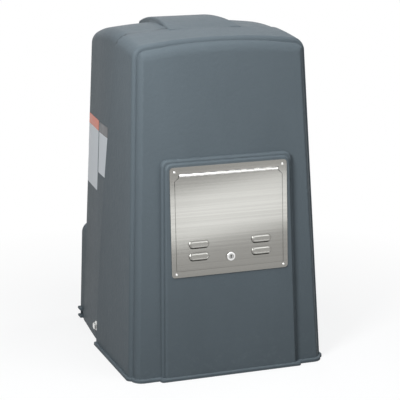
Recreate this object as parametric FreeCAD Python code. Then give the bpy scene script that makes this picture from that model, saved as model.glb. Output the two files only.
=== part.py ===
import FreeCAD, Part
import math
import os

V = FreeCAD.Vector

# Sliding gate operator, millimetres.
# +X is the operator's right seen from its front, +Y points back to the gate, +Z is up.
# The origin lies on the ground, in the middle of the four anchor holes of the base plate.

# ---------------------------------------------------------------- cover: main form
wall = 5.0                      # moulded wall of the cover
front_half_width = 211.0        # wide front part, at the ground
rear_half_width = 190.0         # rear end, at the ground
recess_half_width = 203.0       # rear part just behind its step, at the ground
side_draft = 0.0424             # inward lean of the sides, mm per mm of height
crest_height = 690.0            # top of the crown
crest_y = -10.0
crown_front_radius = 1200.0     # fall of the crown towards the front
crown_rear_radius = 760.0       # and towards the rear
arch_radius = 1280.0            # fall of the crown towards the sides
shoulder_radius = 28.0
rear_y = 218.0                  # rear wall at the ground
rear_lean = 0.0219
rear_edge_radius = 18.0
rim_y = -207.0                  # front plane of the wide part, at the ground
rim_lean = 0.0685
rim_radius = 8.0
step_low = (30.0, 0.0)          # side step line between wide part and rear part, (y, z)
step_mid = (7.0, 325.0)
step_drop = 35.0                # from the crest to its top
step_high = (-49.0, crest_height - step_drop)

# cover: raised front face
face_half_width = 203.0
face_y = -226.0
face_lean = 0.075
face_drop = 17.0                # from the crest to the face's top
face_top = crest_height - face_drop
face_edge_width = 22.0          # rounded border of the face
face_corner_radius = 20.0

# cover: boss that carries the access door
boss_half_width = 149.0
boss_draft = 0.0224
boss_top = 447.0
boss_step = 6.0                 # width and depth of the second step
boss_corner_radius = 15.0
boss_edge_radius = 4.5

# cover: chain housing at the rear
housing_half_width = 187.0
housing_draft = 0.03
housing_y = 243.0
housing_top = 221.0
housing_corner_radius = 24.0
housing_edge_radius = 8.0
chain_slot_height = 12.0
chain_slot_floor = 5.0
chain_slot_y = (219.0, 234.0)
chain_lip = 6.5                 # flare round a chain slot
chain_lip_thickness = 6.0

# cover: raised panel on the crown
dome_front_y = -75.0
dome_rear_y = 203.0
dome_front_half_width = 78.0
dome_rear_half_width = 52.0
dome_rise = 8.0
dome_rear_drop = 22.0           # from the crest to its rear top edge
dome_rear_height = crest_height - dome_rear_drop
dome_edge_radius = 5.0
dome_flare = 1.1                # widening of its sides towards the foot

# cover: rolled bottom edge
bead_out = 4.5
bead_height = 7.0

# cover: side bolts
bolt_y = 60.8
bolt_z = 32.0
bolt_radius = 4.0
bolt_seat_x = 199.6             # flat, upright seat of the washer
bolt_seat_width = 27.0
bolt_slot_gap = 0.8

# ---------------------------------------------------------------- access door
door_y = -217.8                 # middle of the frame's front face
door_z = 322.5
door_lean_deg = 3.56
frame_width = 250.0
frame_height = 223.0
frame_corner = 7.0
sheet = 1.6
frame_stop_overlap = 10.0       # stop flange behind the leaf
frame_stop_rim = 6.0            # and outwards behind the frame
frame_stop_gap = 0.4            # play between leaf and stop
rebate_depth = 4.2              # room in the boss for stop flange and hinge
rebate_gap = 0.5
leaf_side_border = 10.4         # frame beside the leaf
leaf_low_border = 13.0          # below it
leaf_high_border = 20.5         # and above it, with room for the hinge
leaf_half_width = frame_width / 2 - leaf_side_border
leaf_bottom = leaf_low_border - frame_height / 2
leaf_top = frame_height / 2 - leaf_high_border
leaf_gap = 0.8
leaf_chamfer = (9.6, 8.0)
hinge_end_gap = 9.0             # from the hinge's end to the leaf's side
hinge_half_length = leaf_half_width - hinge_end_gap
hinge_rise = 3.2                # hinge axis above the leaf's top edge
hinge_height = leaf_top + hinge_rise
knuckle_radius = 2.6
knuckle_count = 16
knuckle_gap = 0.3
hinge_pin_radius = 1.1
pin_clearance = 0.05
hinge_strip = 12.0
hinge_strip_sheet = 1.2
rivet_radius = 2.4
rivet_border = 9.7              # from the frame's side
rivet_high_border = 9.0
rivet_low_border = 7.0
rivet_x = frame_width / 2 - rivet_border
rivet_heights = (frame_height / 2 - rivet_high_border, rivet_low_border - frame_height / 2)
rivet_rise = 1.0
louver_side = 47.6              # from the leaf's side to the middle of a louver
louver_lifts = (52.5, 27.5)     # from its bottom edge
louver_x = leaf_half_width - louver_side
louver_heights = [leaf_bottom + lift for lift in louver_lifts]
louver_length = 43.0
louver_width = 16.0
louver_rise = 6.0
louver_wall = 1.2
lock_lift = 21.7                # from the leaf's bottom edge
lock_height = leaf_bottom + lock_lift
lock_face_radius = 8.8
lock_face_rise = 5.0
lock_barrel_radius = 7.6
lock_barrel_length = 16.0
lock_plug_radius = 5.6
lock_clearance = 0.05
lock_nut_radius = 11.0
lock_nut_height = 4.0
keyhole_radius = 1.9
keyhole_slot = 1.8
keyhole_depth = 4.0
cam_length = 33.0
cam_thickness = 2.0
cam_width = 12.0

# ---------------------------------------------------------------- chassis
base_half_width = 176.0
base_front = -196.0
base_rear = 206.0
base_thickness = 6.0
anchor_x = 160.0
anchor_y = 150.0
anchor_radius = 7.0
conduit_x = 36.0
conduit_y = -150.0
conduit_radius = 22.0
rear_plate_y = 188.0
rear_plate_thickness = 6.0
rear_plate_half_width = 150.0
rear_plate_height = 420.0
gusset_x = 140.0
gusset_thickness = 5.0
gusset_depth = 90.0
gusset_height = 300.0
shelf_z = 250.0
shelf_thickness = 5.0
shelf_front = 50.0
shelf_half_width = 139.0
bracket_leg = 44.0
bracket_width = 32.0
bracket_thickness = 3.5
bracket_x = 187.0

# ---------------------------------------------------------------- drive train
drive_y = 112.0                 # plane of the gearbox middle and of the motor axis
output_z = 110.0
output_radius = 15.0
worm_z = 185.0
worm_radius = 10.0
motor_z = 332.0
motor_radius = 70.0
motor_shaft_radius = 8.0
motor_left = -66.0              # ends of the laminated core
motor_right = 74.0
bell_length = 20.0
brake_length = 30.0
brake_radius = 46.0
brake_stud_radius = 4.0
brake_stud_rise = 26.0          # above the motor's axis
lever_sheet = 4.0
lever_half_width = 9.0
lever_reach = 62.0
lever_knob_radius = 8.0
lever_knob_length = 18.0
cradle_sheet = 8.0
cradle_foot_sheet = 4.0
cradle_half_depth = 52.0
cradle_foot_half_depth = 58.0
cradle_drop = 40.0              # from the motor's axis to its top
cradle_inset = 14.0             # from the end of the core
belt_x = -104.0
shaft_clearance = 0.05
gearbox_half_x = 78.0
gearbox_half_y = 44.0
gearbox_top = 226.0
gearbox_foot = 12.0
worm_pulley_radius = 46.0
motor_pulley_radius = 28.0
pulley_width = 16.0
belt_top_width = 10.0
belt_depth = 8.0
belt_clearance = 0.3
sprocket_y = 213.0
sprocket_thickness = 7.2
sprocket_teeth = 17
chain_pitch = 15.875
chain_roller_radius = 5.08
sprocket_hub_wall = 10.0
sprocket_hub_length = 10.0      # in front of the toothed disc
idler_x = 78.0
idler_z = 37.0
idler_radius = 25.0
idler_width = 12.0
idler_axle_radius = 6.0
limit_screw_radius = 8.0
limit_screw_front = -42.0
limit_screw_pitch = 5.0
limit_nut_radius = 15.0
limit_nut_width = 12.0
limit_nut_places = (12.0, -18.0)
limit_sheet = 2.0               # web and guide of the limit bracket
limit_ear_sheet = 3.0
limit_ear_side = 24.0
limit_ear_rise = 34.0           # above the screw
limit_foot_depth = 24.0
limit_boss_radius = 14.0
limit_web_gap = 20.0            # from the nuts to the web
limit_web_drop = 26.0           # below the screw
limit_web_end = 52.0
limit_guide_gap = 1.0           # over the nuts
limit_guide_side = 3.0
snap_places = (36.0, -28.0)
snap_depth = 10.0               # body of a snap switch
snap_half_length = 10.0
snap_low = 14.0                 # below the screw
snap_high = 6.0                 # above it
snap_button_radius = 1.5
snap_button_drop = 6.0
snap_button_rise = 2.0
snap_lever_sheet = 1.0

# ---------------------------------------------------------------- controls
panel_y = -95.0
panel_thickness = 2.0
panel_half_width = 124.0
panel_low = 128.0
panel_high = 436.0
panel_flange = 16.0
panel_leg_x = 70.0
panel_leg_width = 20.0
board_half_width = 92.0
board_low = 288.0
board_high = 418.0
board_standoff = 12.0
board_y = panel_y - board_standoff
board_sheet = 1.6
board_front = board_y - board_sheet
standoff_inset = 8.0
standoff_radius = 3.0
terminal_starts = (-84.0, 4.0)
terminal_count = 8
terminal_pitch = 9.5
terminal_depth = 14.0
terminal_low = 4.0              # heights over the board's lower edge
terminal_high = 20.0
relay_starts = (-80.0, -44.0)
relay_width = 28.0
relay_depth = 22.0
relay_low = 70.0
relay_high = 100.0
filter_places = (8.0, 28.0)     # smoothing capacitors
filter_radius = 8.0
filter_length = 26.0
filter_lift = 84.0
chip_x = (48.0, 78.0)
chip_depth = 3.0
chip_lift = (66.0, 96.0)
card_x = (-70.0, -10.0)
card_depth = 12.0
card_lift = (34.0, 42.0)
key_places = (20.0, 38.0, 56.0)
key_radius = 4.0
key_depth = 7.0
key_lift = 46.0
transformer_x = (-44.0, 34.0)
transformer_z = (140.0, 206.0)
transformer_depth = 40.0
coil_inset = 12.0
coil_rise = 14.0
coil_edge_radius = 5.0
switch_plate_y = -152.0
switch_plate_low = 226.0
switch_plate_high = 272.0
switch_plate_half_width = 100.0
switch_plate_sheet = 2.0
switch_middle = (switch_plate_low + switch_plate_high) / 2
fitting_rise = 2.0              # bezels in front of the switch plate
fitting_gap = 0.5               # round a switch or outlet body in its cut-out
rocker_x = -80.0
rocker_half_width = 8.0
rocker_rise = 10.5              # lower end from the pivot
rocker_room_gap = 0.5
rocker_wall = 2.0
rocker_bezel = 2.5              # over the body, all round
rocker_body_half_height = 13.5
rocker_body_depth = 20.0
rocker_room_depth = 12.0
rocker_pivot_radius = 1.5
rocker_pivot_depth = 3.0
rocker_pivot_half = 10.0
button_x = -45.0
button_radius = 6.0
button_rise = 7.5
button_depth = 11.0
button_edge_radius = 1.5
button_guide_radius = 7.8
button_guide_depth = 24.0
button_ring_radius = 11.0
button_ring_rise = 2.5
button_room_depth = 16.0
button_hole_radius = 8.0
outlet_x = (12.0, 82.0)         # body behind the plate
outlet_half_height = 15.0
outlet_depth = 26.0
outlet_flange = (6.0, 5.0)      # beyond the body, across and up
outlet_sockets = (29.0, 65.0)
battery_size = (65.0, 150.0, 94.0)
battery_inner_x = 79.0
battery_front_y = -186.0
tray_sheet = 2.0
tray_lip = 14.0

capacitor_radius = 23.0
capacitor_place = (-118.0, 12.0)
capacitor_height = 104.0
clamp_wall = 2.0
clamp_heights = (40.0, 56.0)
clamp_foot_half_width = 8.0

joint_gap = 0.3                 # free gap between a piece and one that moves past it


# ---------------------------------------------------------------- helpers
def box(x0, x1, y0, y1, z0, z1):
    return Part.makeBox(x1 - x0, y1 - y0, z1 - z0, V(x0, y0, z0))


def rod(radius, start, end):
    axis = end - start
    return Part.makeCylinder(radius, axis.Length, start, axis)


def tube(outer, inner, start, end):
    return rod(outer, start, end).cut(rod(inner, start, end))


def mirrored(shape):
    return shape.mirror(V(0, 0, 0), V(1, 0, 0))


def union(shapes):
    """One solid from shapes, joined one after another."""
    body = shapes[0]
    for shape in shapes[1:]:
        body = body.fuse(shape)
    return body.removeSplitter()


def rounded_face(corners, place):
    """Closed flat face through (a, b, radius) corners; place turns (a, b) into a point."""
    pieces = []
    ends = []
    for index, (a, b, radius) in enumerate(corners):
        before = V(*corners[index - 1][:2], 0)
        here = V(a, b, 0)
        after = V(*corners[(index + 1) % len(corners)][:2], 0)
        back = (before - here).normalize()
        ahead = (after - here).normalize()
        half = math.acos(max(-1.0, min(1.0, back.dot(ahead)))) / 2
        reach = radius / math.tan(half)
        middle = here + (back + ahead).normalize() * (radius / math.sin(half) - radius)
        ends.append((here + back * reach, middle, here + ahead * reach))
    for index, (enter, middle, leave) in enumerate(ends):
        if (leave - enter).Length > 1e-6:
            arc = Part.Arc(*[place(p.x, p.y) for p in (enter, middle, leave)])
            pieces.append(arc.toShape())
        following = ends[(index + 1) % len(ends)][0]
        if (following - leave).Length > 1e-6:
            pieces.append(Part.makeLine(place(leave.x, leave.y), place(following.x, following.y)))
    return Part.Face(Part.Wire(pieces))


def plan(corners, z):
    return rounded_face(corners, lambda a, b: V(a, b, z))


def both_sides(right):
    """Corners of a symmetric outline from its right half."""
    return right + [(-a, b, radius) for a, b, radius in reversed(right)]


def front_prism(corners, y0, y1):
    return rounded_face(corners, lambda a, b: V(a, y0, b)).extrude(V(0, y1 - y0, 0))


def side_prism(corners, x0, x1):
    return rounded_face(corners, lambda a, b: V(x0, a, b)).extrude(V(x1 - x0, 0, 0))


def plan_loft(low, high, z0, z1):
    """Solid between two plan outlines with equally many corners."""
    wires = [plan(low, z0).OuterWire, plan(high, z1).OuterWire]
    return Part.makeLoft(wires, True, True)


def rounded(shape, radius, chosen):
    edges = [edge for edge in shape.Edges if chosen(edge)]
    return shape.makeFillet(radius, edges)


def hexagon(radius, height, start, axis):
    """Hexagonal prism, radius to its flats."""
    corner = radius / math.cos(math.pi / 6)
    points = [V(corner * math.cos(k * math.pi / 3), corner * math.sin(k * math.pi / 3), 0)
              for k in range(7)]
    solid = Part.Face(Part.makePolygon(points)).extrude(V(0, 0, height))
    solid.Placement = FreeCAD.Placement(start, FreeCAD.Rotation(V(0, 0, 1), axis))
    return solid


def hex_bolt(radius, length, seat, axis):
    """Bolt whose head stands on seat and whose shank runs against axis."""
    head_height = radius * 1.3
    head = hexagon(radius * 1.65, head_height, seat, axis)
    return head.fuse(rod(radius, seat, seat - axis * length))


# ---------------------------------------------------------------- cover
def crown_height(y):
    radius = crown_front_radius if y < crest_y else crown_rear_radius
    return crest_height - (y - crest_y) ** 2 / (2 * radius)


def hood_section(y, half_width, inset, floor):
    """Front-view outline of the hood at y: leaning sides, shoulders and arched top."""
    lean = math.hypot(1, side_draft)
    width = half_width - inset * lean
    radius = shoulder_radius - inset
    arch = arch_radius - inset
    arch_z = crown_height(y) - arch_radius
    shift = width - radius * lean
    half_b = shift * side_draft + arch_z
    rest = shift ** 2 + arch_z ** 2 - (arch - radius) ** 2
    centre_z = (half_b + math.sqrt(half_b ** 2 - lean ** 2 * rest)) / lean ** 2
    centre_x = shift - side_draft * centre_z
    low = (centre_x + radius / lean, centre_z + radius * side_draft / lean)
    reach = math.hypot(centre_x, centre_z - arch_z)
    high = (centre_x * arch / reach, arch_z + (centre_z - arch_z) * arch / reach)
    toward = (low[0] + high[0] - 2 * centre_x, low[1] + high[1] - 2 * centre_z)
    scale = radius / math.hypot(*toward)
    middle = (centre_x + toward[0] * scale, centre_z + toward[1] * scale)
    foot = (width - side_draft * floor, floor)

    def point(pair, side=1):
        return V(side * pair[0], y, pair[1])

    edges = [
        Part.makeLine(point(foot, -1), point(foot)),
        Part.makeLine(point(foot), point(low)),
        Part.Arc(point(low), point(middle), point(high)).toShape(),
        Part.Arc(point(high), V(0, y, arch_z + arch), point(high, -1)).toShape(),
        Part.Arc(point(high, -1), point(middle, -1), point(low, -1)).toShape(),
        Part.makeLine(point(low, -1), point(foot, -1)),
    ]
    return Part.Wire(edges)


def on_plane(edge, y0, lean, floor):
    """True for an edge that lies on the leaning plane y = y0 + lean z, above the floor."""
    points = edge.discretize(3)
    flat = all(abs(p.y - y0 - lean * p.z) < 0.02 for p in points)
    return flat and edge.BoundBox.ZMax > floor + 1


def wide_part(inset, floor):
    """Front part of the hood, from its rim to the side step."""
    sections = [hood_section(y, front_half_width, inset, floor)
                for y in (rim_y - 15, -150.0, crest_y, 110.0)]
    body = Part.makeLoft(sections, True, False)
    front = rim_y + inset
    high = crest_height + 60
    ahead = side_prism([(front + rim_lean * (floor - 5), floor - 5, 0), (300, floor - 5, 0),
                        (300, high, 0), (front + rim_lean * high, high, 0)], -300, 300)
    body = body.common(ahead)
    body = rounded(body, rim_radius, lambda edge: on_plane(edge, front, rim_lean, floor))
    lift = (step_high[1] - step_mid[1])
    slope = (step_high[0] - step_mid[0]) / lift
    above = (step_high[0] + slope * 1.2 * (high - step_high[1]) - inset, high)
    low = V(0, step_low[0] - inset, step_low[1])
    mid = V(0, step_mid[0] - inset, step_mid[1])
    top = V(0, step_high[0] - inset, step_high[1])
    under = V(0, low.y, floor - 5)
    crest = V(0, above[0], high)
    outline = [
        Part.makeLine(V(0, -400, floor - 5), under),
        Part.makeLine(under, low),
        Part.Arc(low, mid, top).toShape(),
        Part.makeLine(top, crest),
        Part.makeLine(crest, V(0, -400, high)),
        Part.makeLine(V(0, -400, high), V(0, -400, floor - 5)),
    ]
    keep = Part.Face(Part.Wire(outline))
    keep.translate(V(-300, 0, 0))
    return body.common(keep.extrude(V(600, 0, 0)))


def rear_part(inset, floor):
    """Rear part of the hood, narrowing towards the gate."""
    back = step_low[0] + 18
    narrowing = (recess_half_width - rear_half_width) / (rear_y - back)

    def half_width(y):
        return recess_half_width - narrowing * max(0.0, y - back + 20)

    sections = [hood_section(y, half_width(y), inset, floor)
                for y in (-80.0, crest_y, 60.0, 130.0, rear_y + 12)]
    body = Part.makeLoft(sections, True, False)
    rear = rear_y - inset
    high = crest_height + 60
    behind = side_prism([(rear - rear_lean * (floor - 5), floor - 5, 0), (-300, floor - 5, 0),
                         (-300, high, 0), (rear - rear_lean * high, high, 0)], -300, 300)
    body = body.common(behind)
    radius = rear_edge_radius - inset
    return rounded(body, radius, lambda edge: on_plane(edge, rear, -rear_lean, floor))


def quarter(start, corner, end):
    """Quarter of an ellipse from start to end, tangent to the lines through corner."""
    curve = Part.BezierCurve()
    curve.setPoles([start, corner, end])
    curve.setWeight(2, math.sqrt(0.5))
    return curve.toShape()


def face_plan(z, inset):
    """Plan outline of the raised face with its rounded borders."""
    width = face_half_width - side_draft * z - inset
    front = face_y + face_lean * z + inset - 1
    crease = rim_y + rim_lean * z + inset
    flat = width - face_edge_width + inset
    back = 0.0
    right = [Part.makeLine(V(-flat, front, z), V(flat, front, z)),
             quarter(V(flat, front, z), V(width, front, z), V(width, crease, z)),
             Part.makeLine(V(width, crease, z), V(width, back, z)),
             Part.makeLine(V(width, back, z), V(-width, back, z)),
             Part.makeLine(V(-width, back, z), V(-width, crease, z)),
             quarter(V(-width, crease, z), V(-width, front, z), V(-flat, front, z))]
    return Part.Wire(right)


def raised_face(inset, floor):
    """Crowned front face: plan form, side form and front outline in common."""
    high = crest_height + 60
    across = Part.makeLoft([face_plan(floor, inset), face_plan(high, inset)], True, True)
    top = face_top - inset
    turn = top - face_edge_width
    front_low = face_y + face_lean * floor + inset
    front_high = face_y + face_lean * turn + inset
    lip = face_y + face_lean * top + inset
    crease = rim_y + rim_lean * top + inset
    centre = V(0, 0, top - arch_radius)
    profile = Part.Face(Part.Wire([
        Part.makeLine(V(0, front_low, floor), V(0, front_high, turn)),
        quarter(V(0, front_high, turn), V(0, lip, top), V(0, crease, top)),
        Part.makeLine(V(0, crease, top), V(0, 0, top)),
        Part.makeLine(V(0, 0, top), V(0, 0, floor)),
        Part.makeLine(V(0, 0, floor), V(0, front_low, floor)),
    ]))
    spread = 25.0
    profile.rotate(centre, V(0, 1, 0), -spread)
    along = profile.revolve(centre, V(0, 1, 0), 2 * spread)
    width = face_half_width - inset
    corner = face_corner_radius - inset / 2
    edge_top = top - width ** 2 / (2 * arch_radius)
    outline = both_sides([(width - side_draft * (floor - 60), floor - 60, 0),
                          (width - side_draft * edge_top, edge_top + 1.5, corner)])
    outline.insert(2, (0, top + 9, 900))
    front = front_prism(outline, -400, 10)
    body = across.common(along).common(front)
    below = box(-300, 300, -400, 300, floor - 100, floor)
    return body.cut(below)


def boss(inset, floor):
    """Two stepped pads that bring the front out to the plane of the door."""
    pads = []
    lean = math.tan(math.radians(door_lean_deg))
    seat = sheet / math.cos(math.radians(door_lean_deg))
    for order, back in ((0, boss_step + seat), (1, seat)):
        narrower = order * boss_step + inset
        high = boss_top - narrower
        wide_low = boss_half_width - boss_draft * floor - narrower
        wide_high = boss_half_width - boss_draft * high - narrower
        plane = door_y + back + inset
        body = front_prism(both_sides([(wide_low, floor, 0),
                                       (wide_high, high, boss_corner_radius - inset / 2)]),
                           -400, -150)
        keep = side_prism([(plane + lean * (floor - 1 - door_z), floor - 1, 0), (0, floor - 1, 0),
                           (0, high + 1, 0), (plane + lean * (high + 1 - door_z), high + 1, 0)],
                          -300, 300)
        body = body.common(keep)
        if not inset:
            start = plane - lean * door_z
            body = rounded(body, boss_edge_radius,
                           lambda edge: on_plane(edge, start, lean, floor))
        pads.append(body)
    return pads


def chain_housing(inset, floor):
    """Shallow box at the rear that covers the drive sprocket and its idlers."""
    high = housing_top - inset
    outline = both_sides([(housing_half_width - housing_draft * floor - inset, floor, 0),
                          (housing_half_width - housing_draft * high - inset, high,
                           housing_corner_radius - inset)])
    rear = housing_y - inset
    body = front_prism(outline, 150, rear + 20)
    keep = side_prism([(100, floor - 1, 0), (rear - rear_lean * (floor - 1), floor - 1, 0),
                       (rear - rear_lean * (high + 1), high + 1, 0), (100, high + 1, 0)],
                      -300, 300)
    body = body.common(keep)
    radius = housing_edge_radius - inset
    return rounded(body, radius, lambda edge: on_plane(edge, rear, -rear_lean, floor))


def dome():
    """Fan-shaped raised panel of the crown, running out to nothing at its front."""
    base = crest_height - 60
    fan = both_sides([(dome_front_half_width, dome_front_y - 20, 0),
                      (dome_rear_half_width, dome_rear_y - 2, 14)])
    spread = [(a * dome_flare, b + 1, radius + 4 if radius else 0) for a, b, radius in fan]
    body = plan_loft(spread, fan, base, crest_height + 30)
    start = V(0, dome_front_y, crown_height(dome_front_y) - 0.5)
    top = V(0, 40, crown_height(40) + dome_rise)
    end = V(0, dome_rear_y + 10, dome_rear_height - 2)
    low = base - 5
    profile = Part.Face(Part.Wire([
        Part.Arc(start, top, end).toShape(),
        Part.makeLine(end, V(0, end.y, low)),
        Part.makeLine(V(0, end.y, low), V(0, start.y, low)),
        Part.makeLine(V(0, start.y, low), start),
    ]))
    profile.translate(V(-150, 0, 0))
    body = body.common(profile.extrude(V(300, 0, 0)))
    edge_low = dome_rear_height - 12

    def top_edge(edge):
        middle = edge.discretize(3)[1]
        inside = abs(middle.x) > 20 or middle.y > dome_rear_y - 20
        return edge.BoundBox.ZMin > edge_low and inside and middle.y > dome_front_y + 5

    return rounded(body, dome_edge_radius, top_edge)


def bottom_bead():
    """Rolled edge round the foot of the front part."""
    out = bead_out
    slab = face_half_width + out
    front = face_y - out
    lean = math.tan(math.radians(door_lean_deg))
    seat = sheet / math.cos(math.radians(door_lean_deg))
    boss_front = door_y - lean * door_z + seat - out
    outlines = [
        [(front_half_width + out, rim_y - out, rim_radius + out),
         (front_half_width + out, step_low[0] + out / 2, 2.0)],
        [(slab, front, face_edge_width), (slab, 0, 0)],
        [(boss_half_width + out, boss_front, boss_edge_radius + 3), (boss_half_width + out, 0, 0)],
    ]
    pads = []
    for right in outlines:
        body = plan(both_sides(right), 0).extrude(V(0, 0, bead_height))
        body = rounded(body, bead_height * 0.42,
                       lambda edge: edge.BoundBox.ZMin > bead_height - 0.01
                       and edge.BoundBox.YMin < step_low[0] - 1)
        pads.append(body)
    return pads


def chain_lips():
    """Flared lips above and below the chain slot on the left and right."""
    lips = []
    slot_top = chain_slot_floor + chain_slot_height
    y0, y1 = chain_slot_y
    for low in (0.0, slot_top):
        high = chain_slot_floor if low == 0.0 else low + chain_lip_thickness
        side = housing_half_width - 12
        lip = box(side, housing_half_width + chain_lip, y0 - 2, y1 + 2, low, high)
        outer = housing_half_width + chain_lip
        lip = rounded(lip, min(2.4, (high - low) / 2 - 0.1),
                      lambda edge: edge.BoundBox.XMin > outer - 0.01)
        lips += [lip, mirrored(lip)]
    return lips


def window_cutter():
    """Opening in the boss behind the door, with a rebate for stop flange and hinge."""
    side = leaf_half_width - frame_stop_overlap
    opening = box(-side, side, -30, 45, leaf_bottom + frame_stop_overlap,
                  leaf_top - frame_stop_overlap + 4)
    side = leaf_half_width + frame_stop_rim + rebate_gap
    rebate = box(-side, side, -30, rebate_depth, leaf_bottom - frame_stop_rim - rebate_gap,
                 hinge_height + knuckle_radius + hinge_strip + rebate_gap)
    return on_door(opening.fuse(rebate))


def cover_hood():
    outer = union([wide_part(0, 0), rear_part(0, 0), raised_face(0, 0), chain_housing(0, 0),
                   dome()] + boss(0, 0) + bottom_bead() + chain_lips())
    floor = -2.0
    inner = union([wide_part(wall, floor), rear_part(wall, floor), raised_face(wall, floor),
                   chain_housing(wall, floor)] + boss(wall, floor)[:1])
    body = outer.cut(inner).cut(window_cutter())
    seat = box(bolt_seat_x, 260, bolt_y - bolt_seat_width / 2, bolt_y + bolt_seat_width / 2,
               -1, bolt_z + bolt_seat_width / 2)
    slot_half = bolt_radius + bolt_slot_gap
    slot = box(150, 260, bolt_y - slot_half, bolt_y + slot_half, -1, bolt_z)
    slot = slot.fuse(rod(slot_half, V(150, bolt_y, bolt_z), V(260, bolt_y, bolt_z)))
    chain = box(150, 260, chain_slot_y[0], chain_slot_y[1], chain_slot_floor,
                chain_slot_floor + chain_slot_height)
    for cutter in (seat, slot, chain):
        body = body.cut(cutter).cut(mirrored(cutter))
    return body


# ---------------------------------------------------------------- access door
def on_door(shape):
    """Moves a piece from the door's own frame (front face at y = 0) to its place."""
    moved = shape.copy()
    turn = FreeCAD.Rotation(V(1, 0, 0), -door_lean_deg)
    moved.Placement = FreeCAD.Placement(V(0, door_y, door_z), turn).multiply(moved.Placement)
    return moved


def leaf_outline(gap):
    side = leaf_half_width + gap
    top = leaf_top + gap
    return [(-side, leaf_bottom - gap, 1.0), (side, leaf_bottom - gap, 1.0),
            (side, leaf_top - leaf_chamfer[1], 1.0), (side - leaf_chamfer[0], top, 0.5),
            (-side + leaf_chamfer[0], top, 0.5), (-side, leaf_top - leaf_chamfer[1], 1.0)]


def door_frame():
    half = frame_width / 2
    tall = frame_height / 2
    plate = front_prism([(-half, -tall, frame_corner), (half, -tall, frame_corner),
                         (half, tall, frame_corner), (-half, tall, frame_corner)], 0, sheet)
    plate = plate.cut(front_prism(leaf_outline(leaf_gap), -1, sheet + 1))
    hinge_room = box(-hinge_half_length - 1, hinge_half_length + 1, -1, sheet + 1,
                     leaf_top, hinge_height + knuckle_radius + 1)
    plate = plate.cut(hinge_room)
    over = frame_stop_overlap
    rim = frame_stop_rim
    back = sheet + frame_stop_gap
    low = leaf_bottom
    stop = box(-leaf_half_width - rim, leaf_half_width + rim, sheet, back + sheet,
               low - rim, leaf_top - leaf_chamfer[1] - hinge_strip)
    stop = stop.cut(box(-leaf_half_width + over, leaf_half_width - over, 0, 10, low + over, 200))
    recess = front_prism(leaf_outline(leaf_gap), 0, back)
    return on_door(plate.fuse(stop.cut(recess)))


def knuckles(first):
    """Every second knuckle of the piano hinge, starting with number first."""
    length = 2 * hinge_half_length / knuckle_count
    found = []
    for number in range(first, knuckle_count, 2):
        start = -hinge_half_length + number * length + knuckle_gap / 2
        end = start + length - knuckle_gap
        found.append((start, end))
    return found


def hinge_half(first, up):
    """Strip of the piano hinge with its rolled knuckles; up is +1 on the frame's half."""
    axis_y = sheet / 2
    strip_y = sheet + 0.1
    far = hinge_height + up * (hinge_strip + knuckle_radius)
    near = hinge_height + up * (knuckle_radius + 0.4)
    strip = box(-hinge_half_length, hinge_half_length, strip_y, strip_y + hinge_strip_sheet,
                min(near, far), max(near, far))
    pieces = [strip]
    for start, end in knuckles(first):
        pieces.append(rod(knuckle_radius, V(start, axis_y, hinge_height),
                          V(end, axis_y, hinge_height)))
        pieces.append(box(start, end, axis_y, strip_y + hinge_strip_sheet,
                          min(hinge_height, near), max(hinge_height, near)))
    body = union(pieces)
    bore = rod(hinge_pin_radius + pin_clearance, V(-200, axis_y, hinge_height),
               V(200, axis_y, hinge_height))
    return on_door(body.cut(bore))


def hinge_pin():
    axis_y = sheet / 2
    return on_door(rod(hinge_pin_radius, V(-hinge_half_length, axis_y, hinge_height),
                       V(hinge_half_length, axis_y, hinge_height)))


def louver(outer):
    """Pressed louver: the hood's outside, or the room under it that opens downwards."""
    shrink = 0 if outer else louver_wall
    half = louver_length / 2 - louver_width / 2
    radius = louver_width / 2 - shrink
    rise = louver_rise - shrink
    drop = 0 if outer else louver_wall * 2.2
    pad = front_prism([(-half - radius, -radius - drop, radius - 0.01),
                       (half + radius, -radius - drop, radius - 0.01),
                       (half + radius, radius - drop, radius - 0.01),
                       (-half - radius, radius - drop, radius - 0.01)], -rise, sheet + 1)
    return rounded(pad, rise * 0.8, lambda edge: edge.BoundBox.YMax < -rise + 0.01)


def door_leaf():
    leaf = front_prism(leaf_outline(0), 0, sheet)
    hood = louver(True).common(box(-60, 60, -20, sheet, -60, 60))
    room = louver(False)
    for side in (-1, 1):
        for height in louver_heights:
            place = V(side * louver_x, 0, height)
            leaf = leaf.fuse(hood.translated(place))
            leaf = leaf.cut(room.translated(place))
    hole = lock_barrel_radius + lock_clearance
    leaf = leaf.cut(rod(hole, V(0, -9, lock_height), V(0, 9, lock_height)))
    return on_door(leaf.removeSplitter())


def lock_barrel():
    face = rod(lock_face_radius, V(0, -lock_face_rise, lock_height), V(0, 0, lock_height))
    face = rounded(face, 1.2, lambda edge: edge.BoundBox.YMax < -lock_face_rise + 0.01)
    body = face.fuse(rod(lock_barrel_radius, V(0, 0, lock_height),
                         V(0, lock_barrel_length, lock_height)))
    bore = lock_plug_radius + lock_clearance
    return on_door(body.cut(rod(bore, V(0, -20, lock_height), V(0, 30, lock_height))))


def lock_nut():
    nut = hexagon(lock_nut_radius, lock_nut_height, V(0, sheet, lock_height), V(0, 1, 0))
    hole = rod(lock_barrel_radius + lock_clearance, V(0, -9, lock_height), V(0, 20, lock_height))
    return on_door(nut.cut(hole))


def lock_plug():
    end = lock_barrel_length + cam_thickness + 1.0
    body = rod(lock_plug_radius, V(0, -lock_face_rise + 0.8, lock_height), V(0, end, lock_height))
    half = keyhole_slot / 2
    slot = box(-half, half, -lock_face_rise, keyhole_depth, lock_height - keyhole_slot * 2,
               lock_height + 3.0)
    top = lock_height + 1.6
    pocket = rod(keyhole_radius, V(0, -lock_face_rise, top), V(0, keyhole_depth, top))
    return on_door(body.cut(slot.fuse(pocket)))


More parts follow.
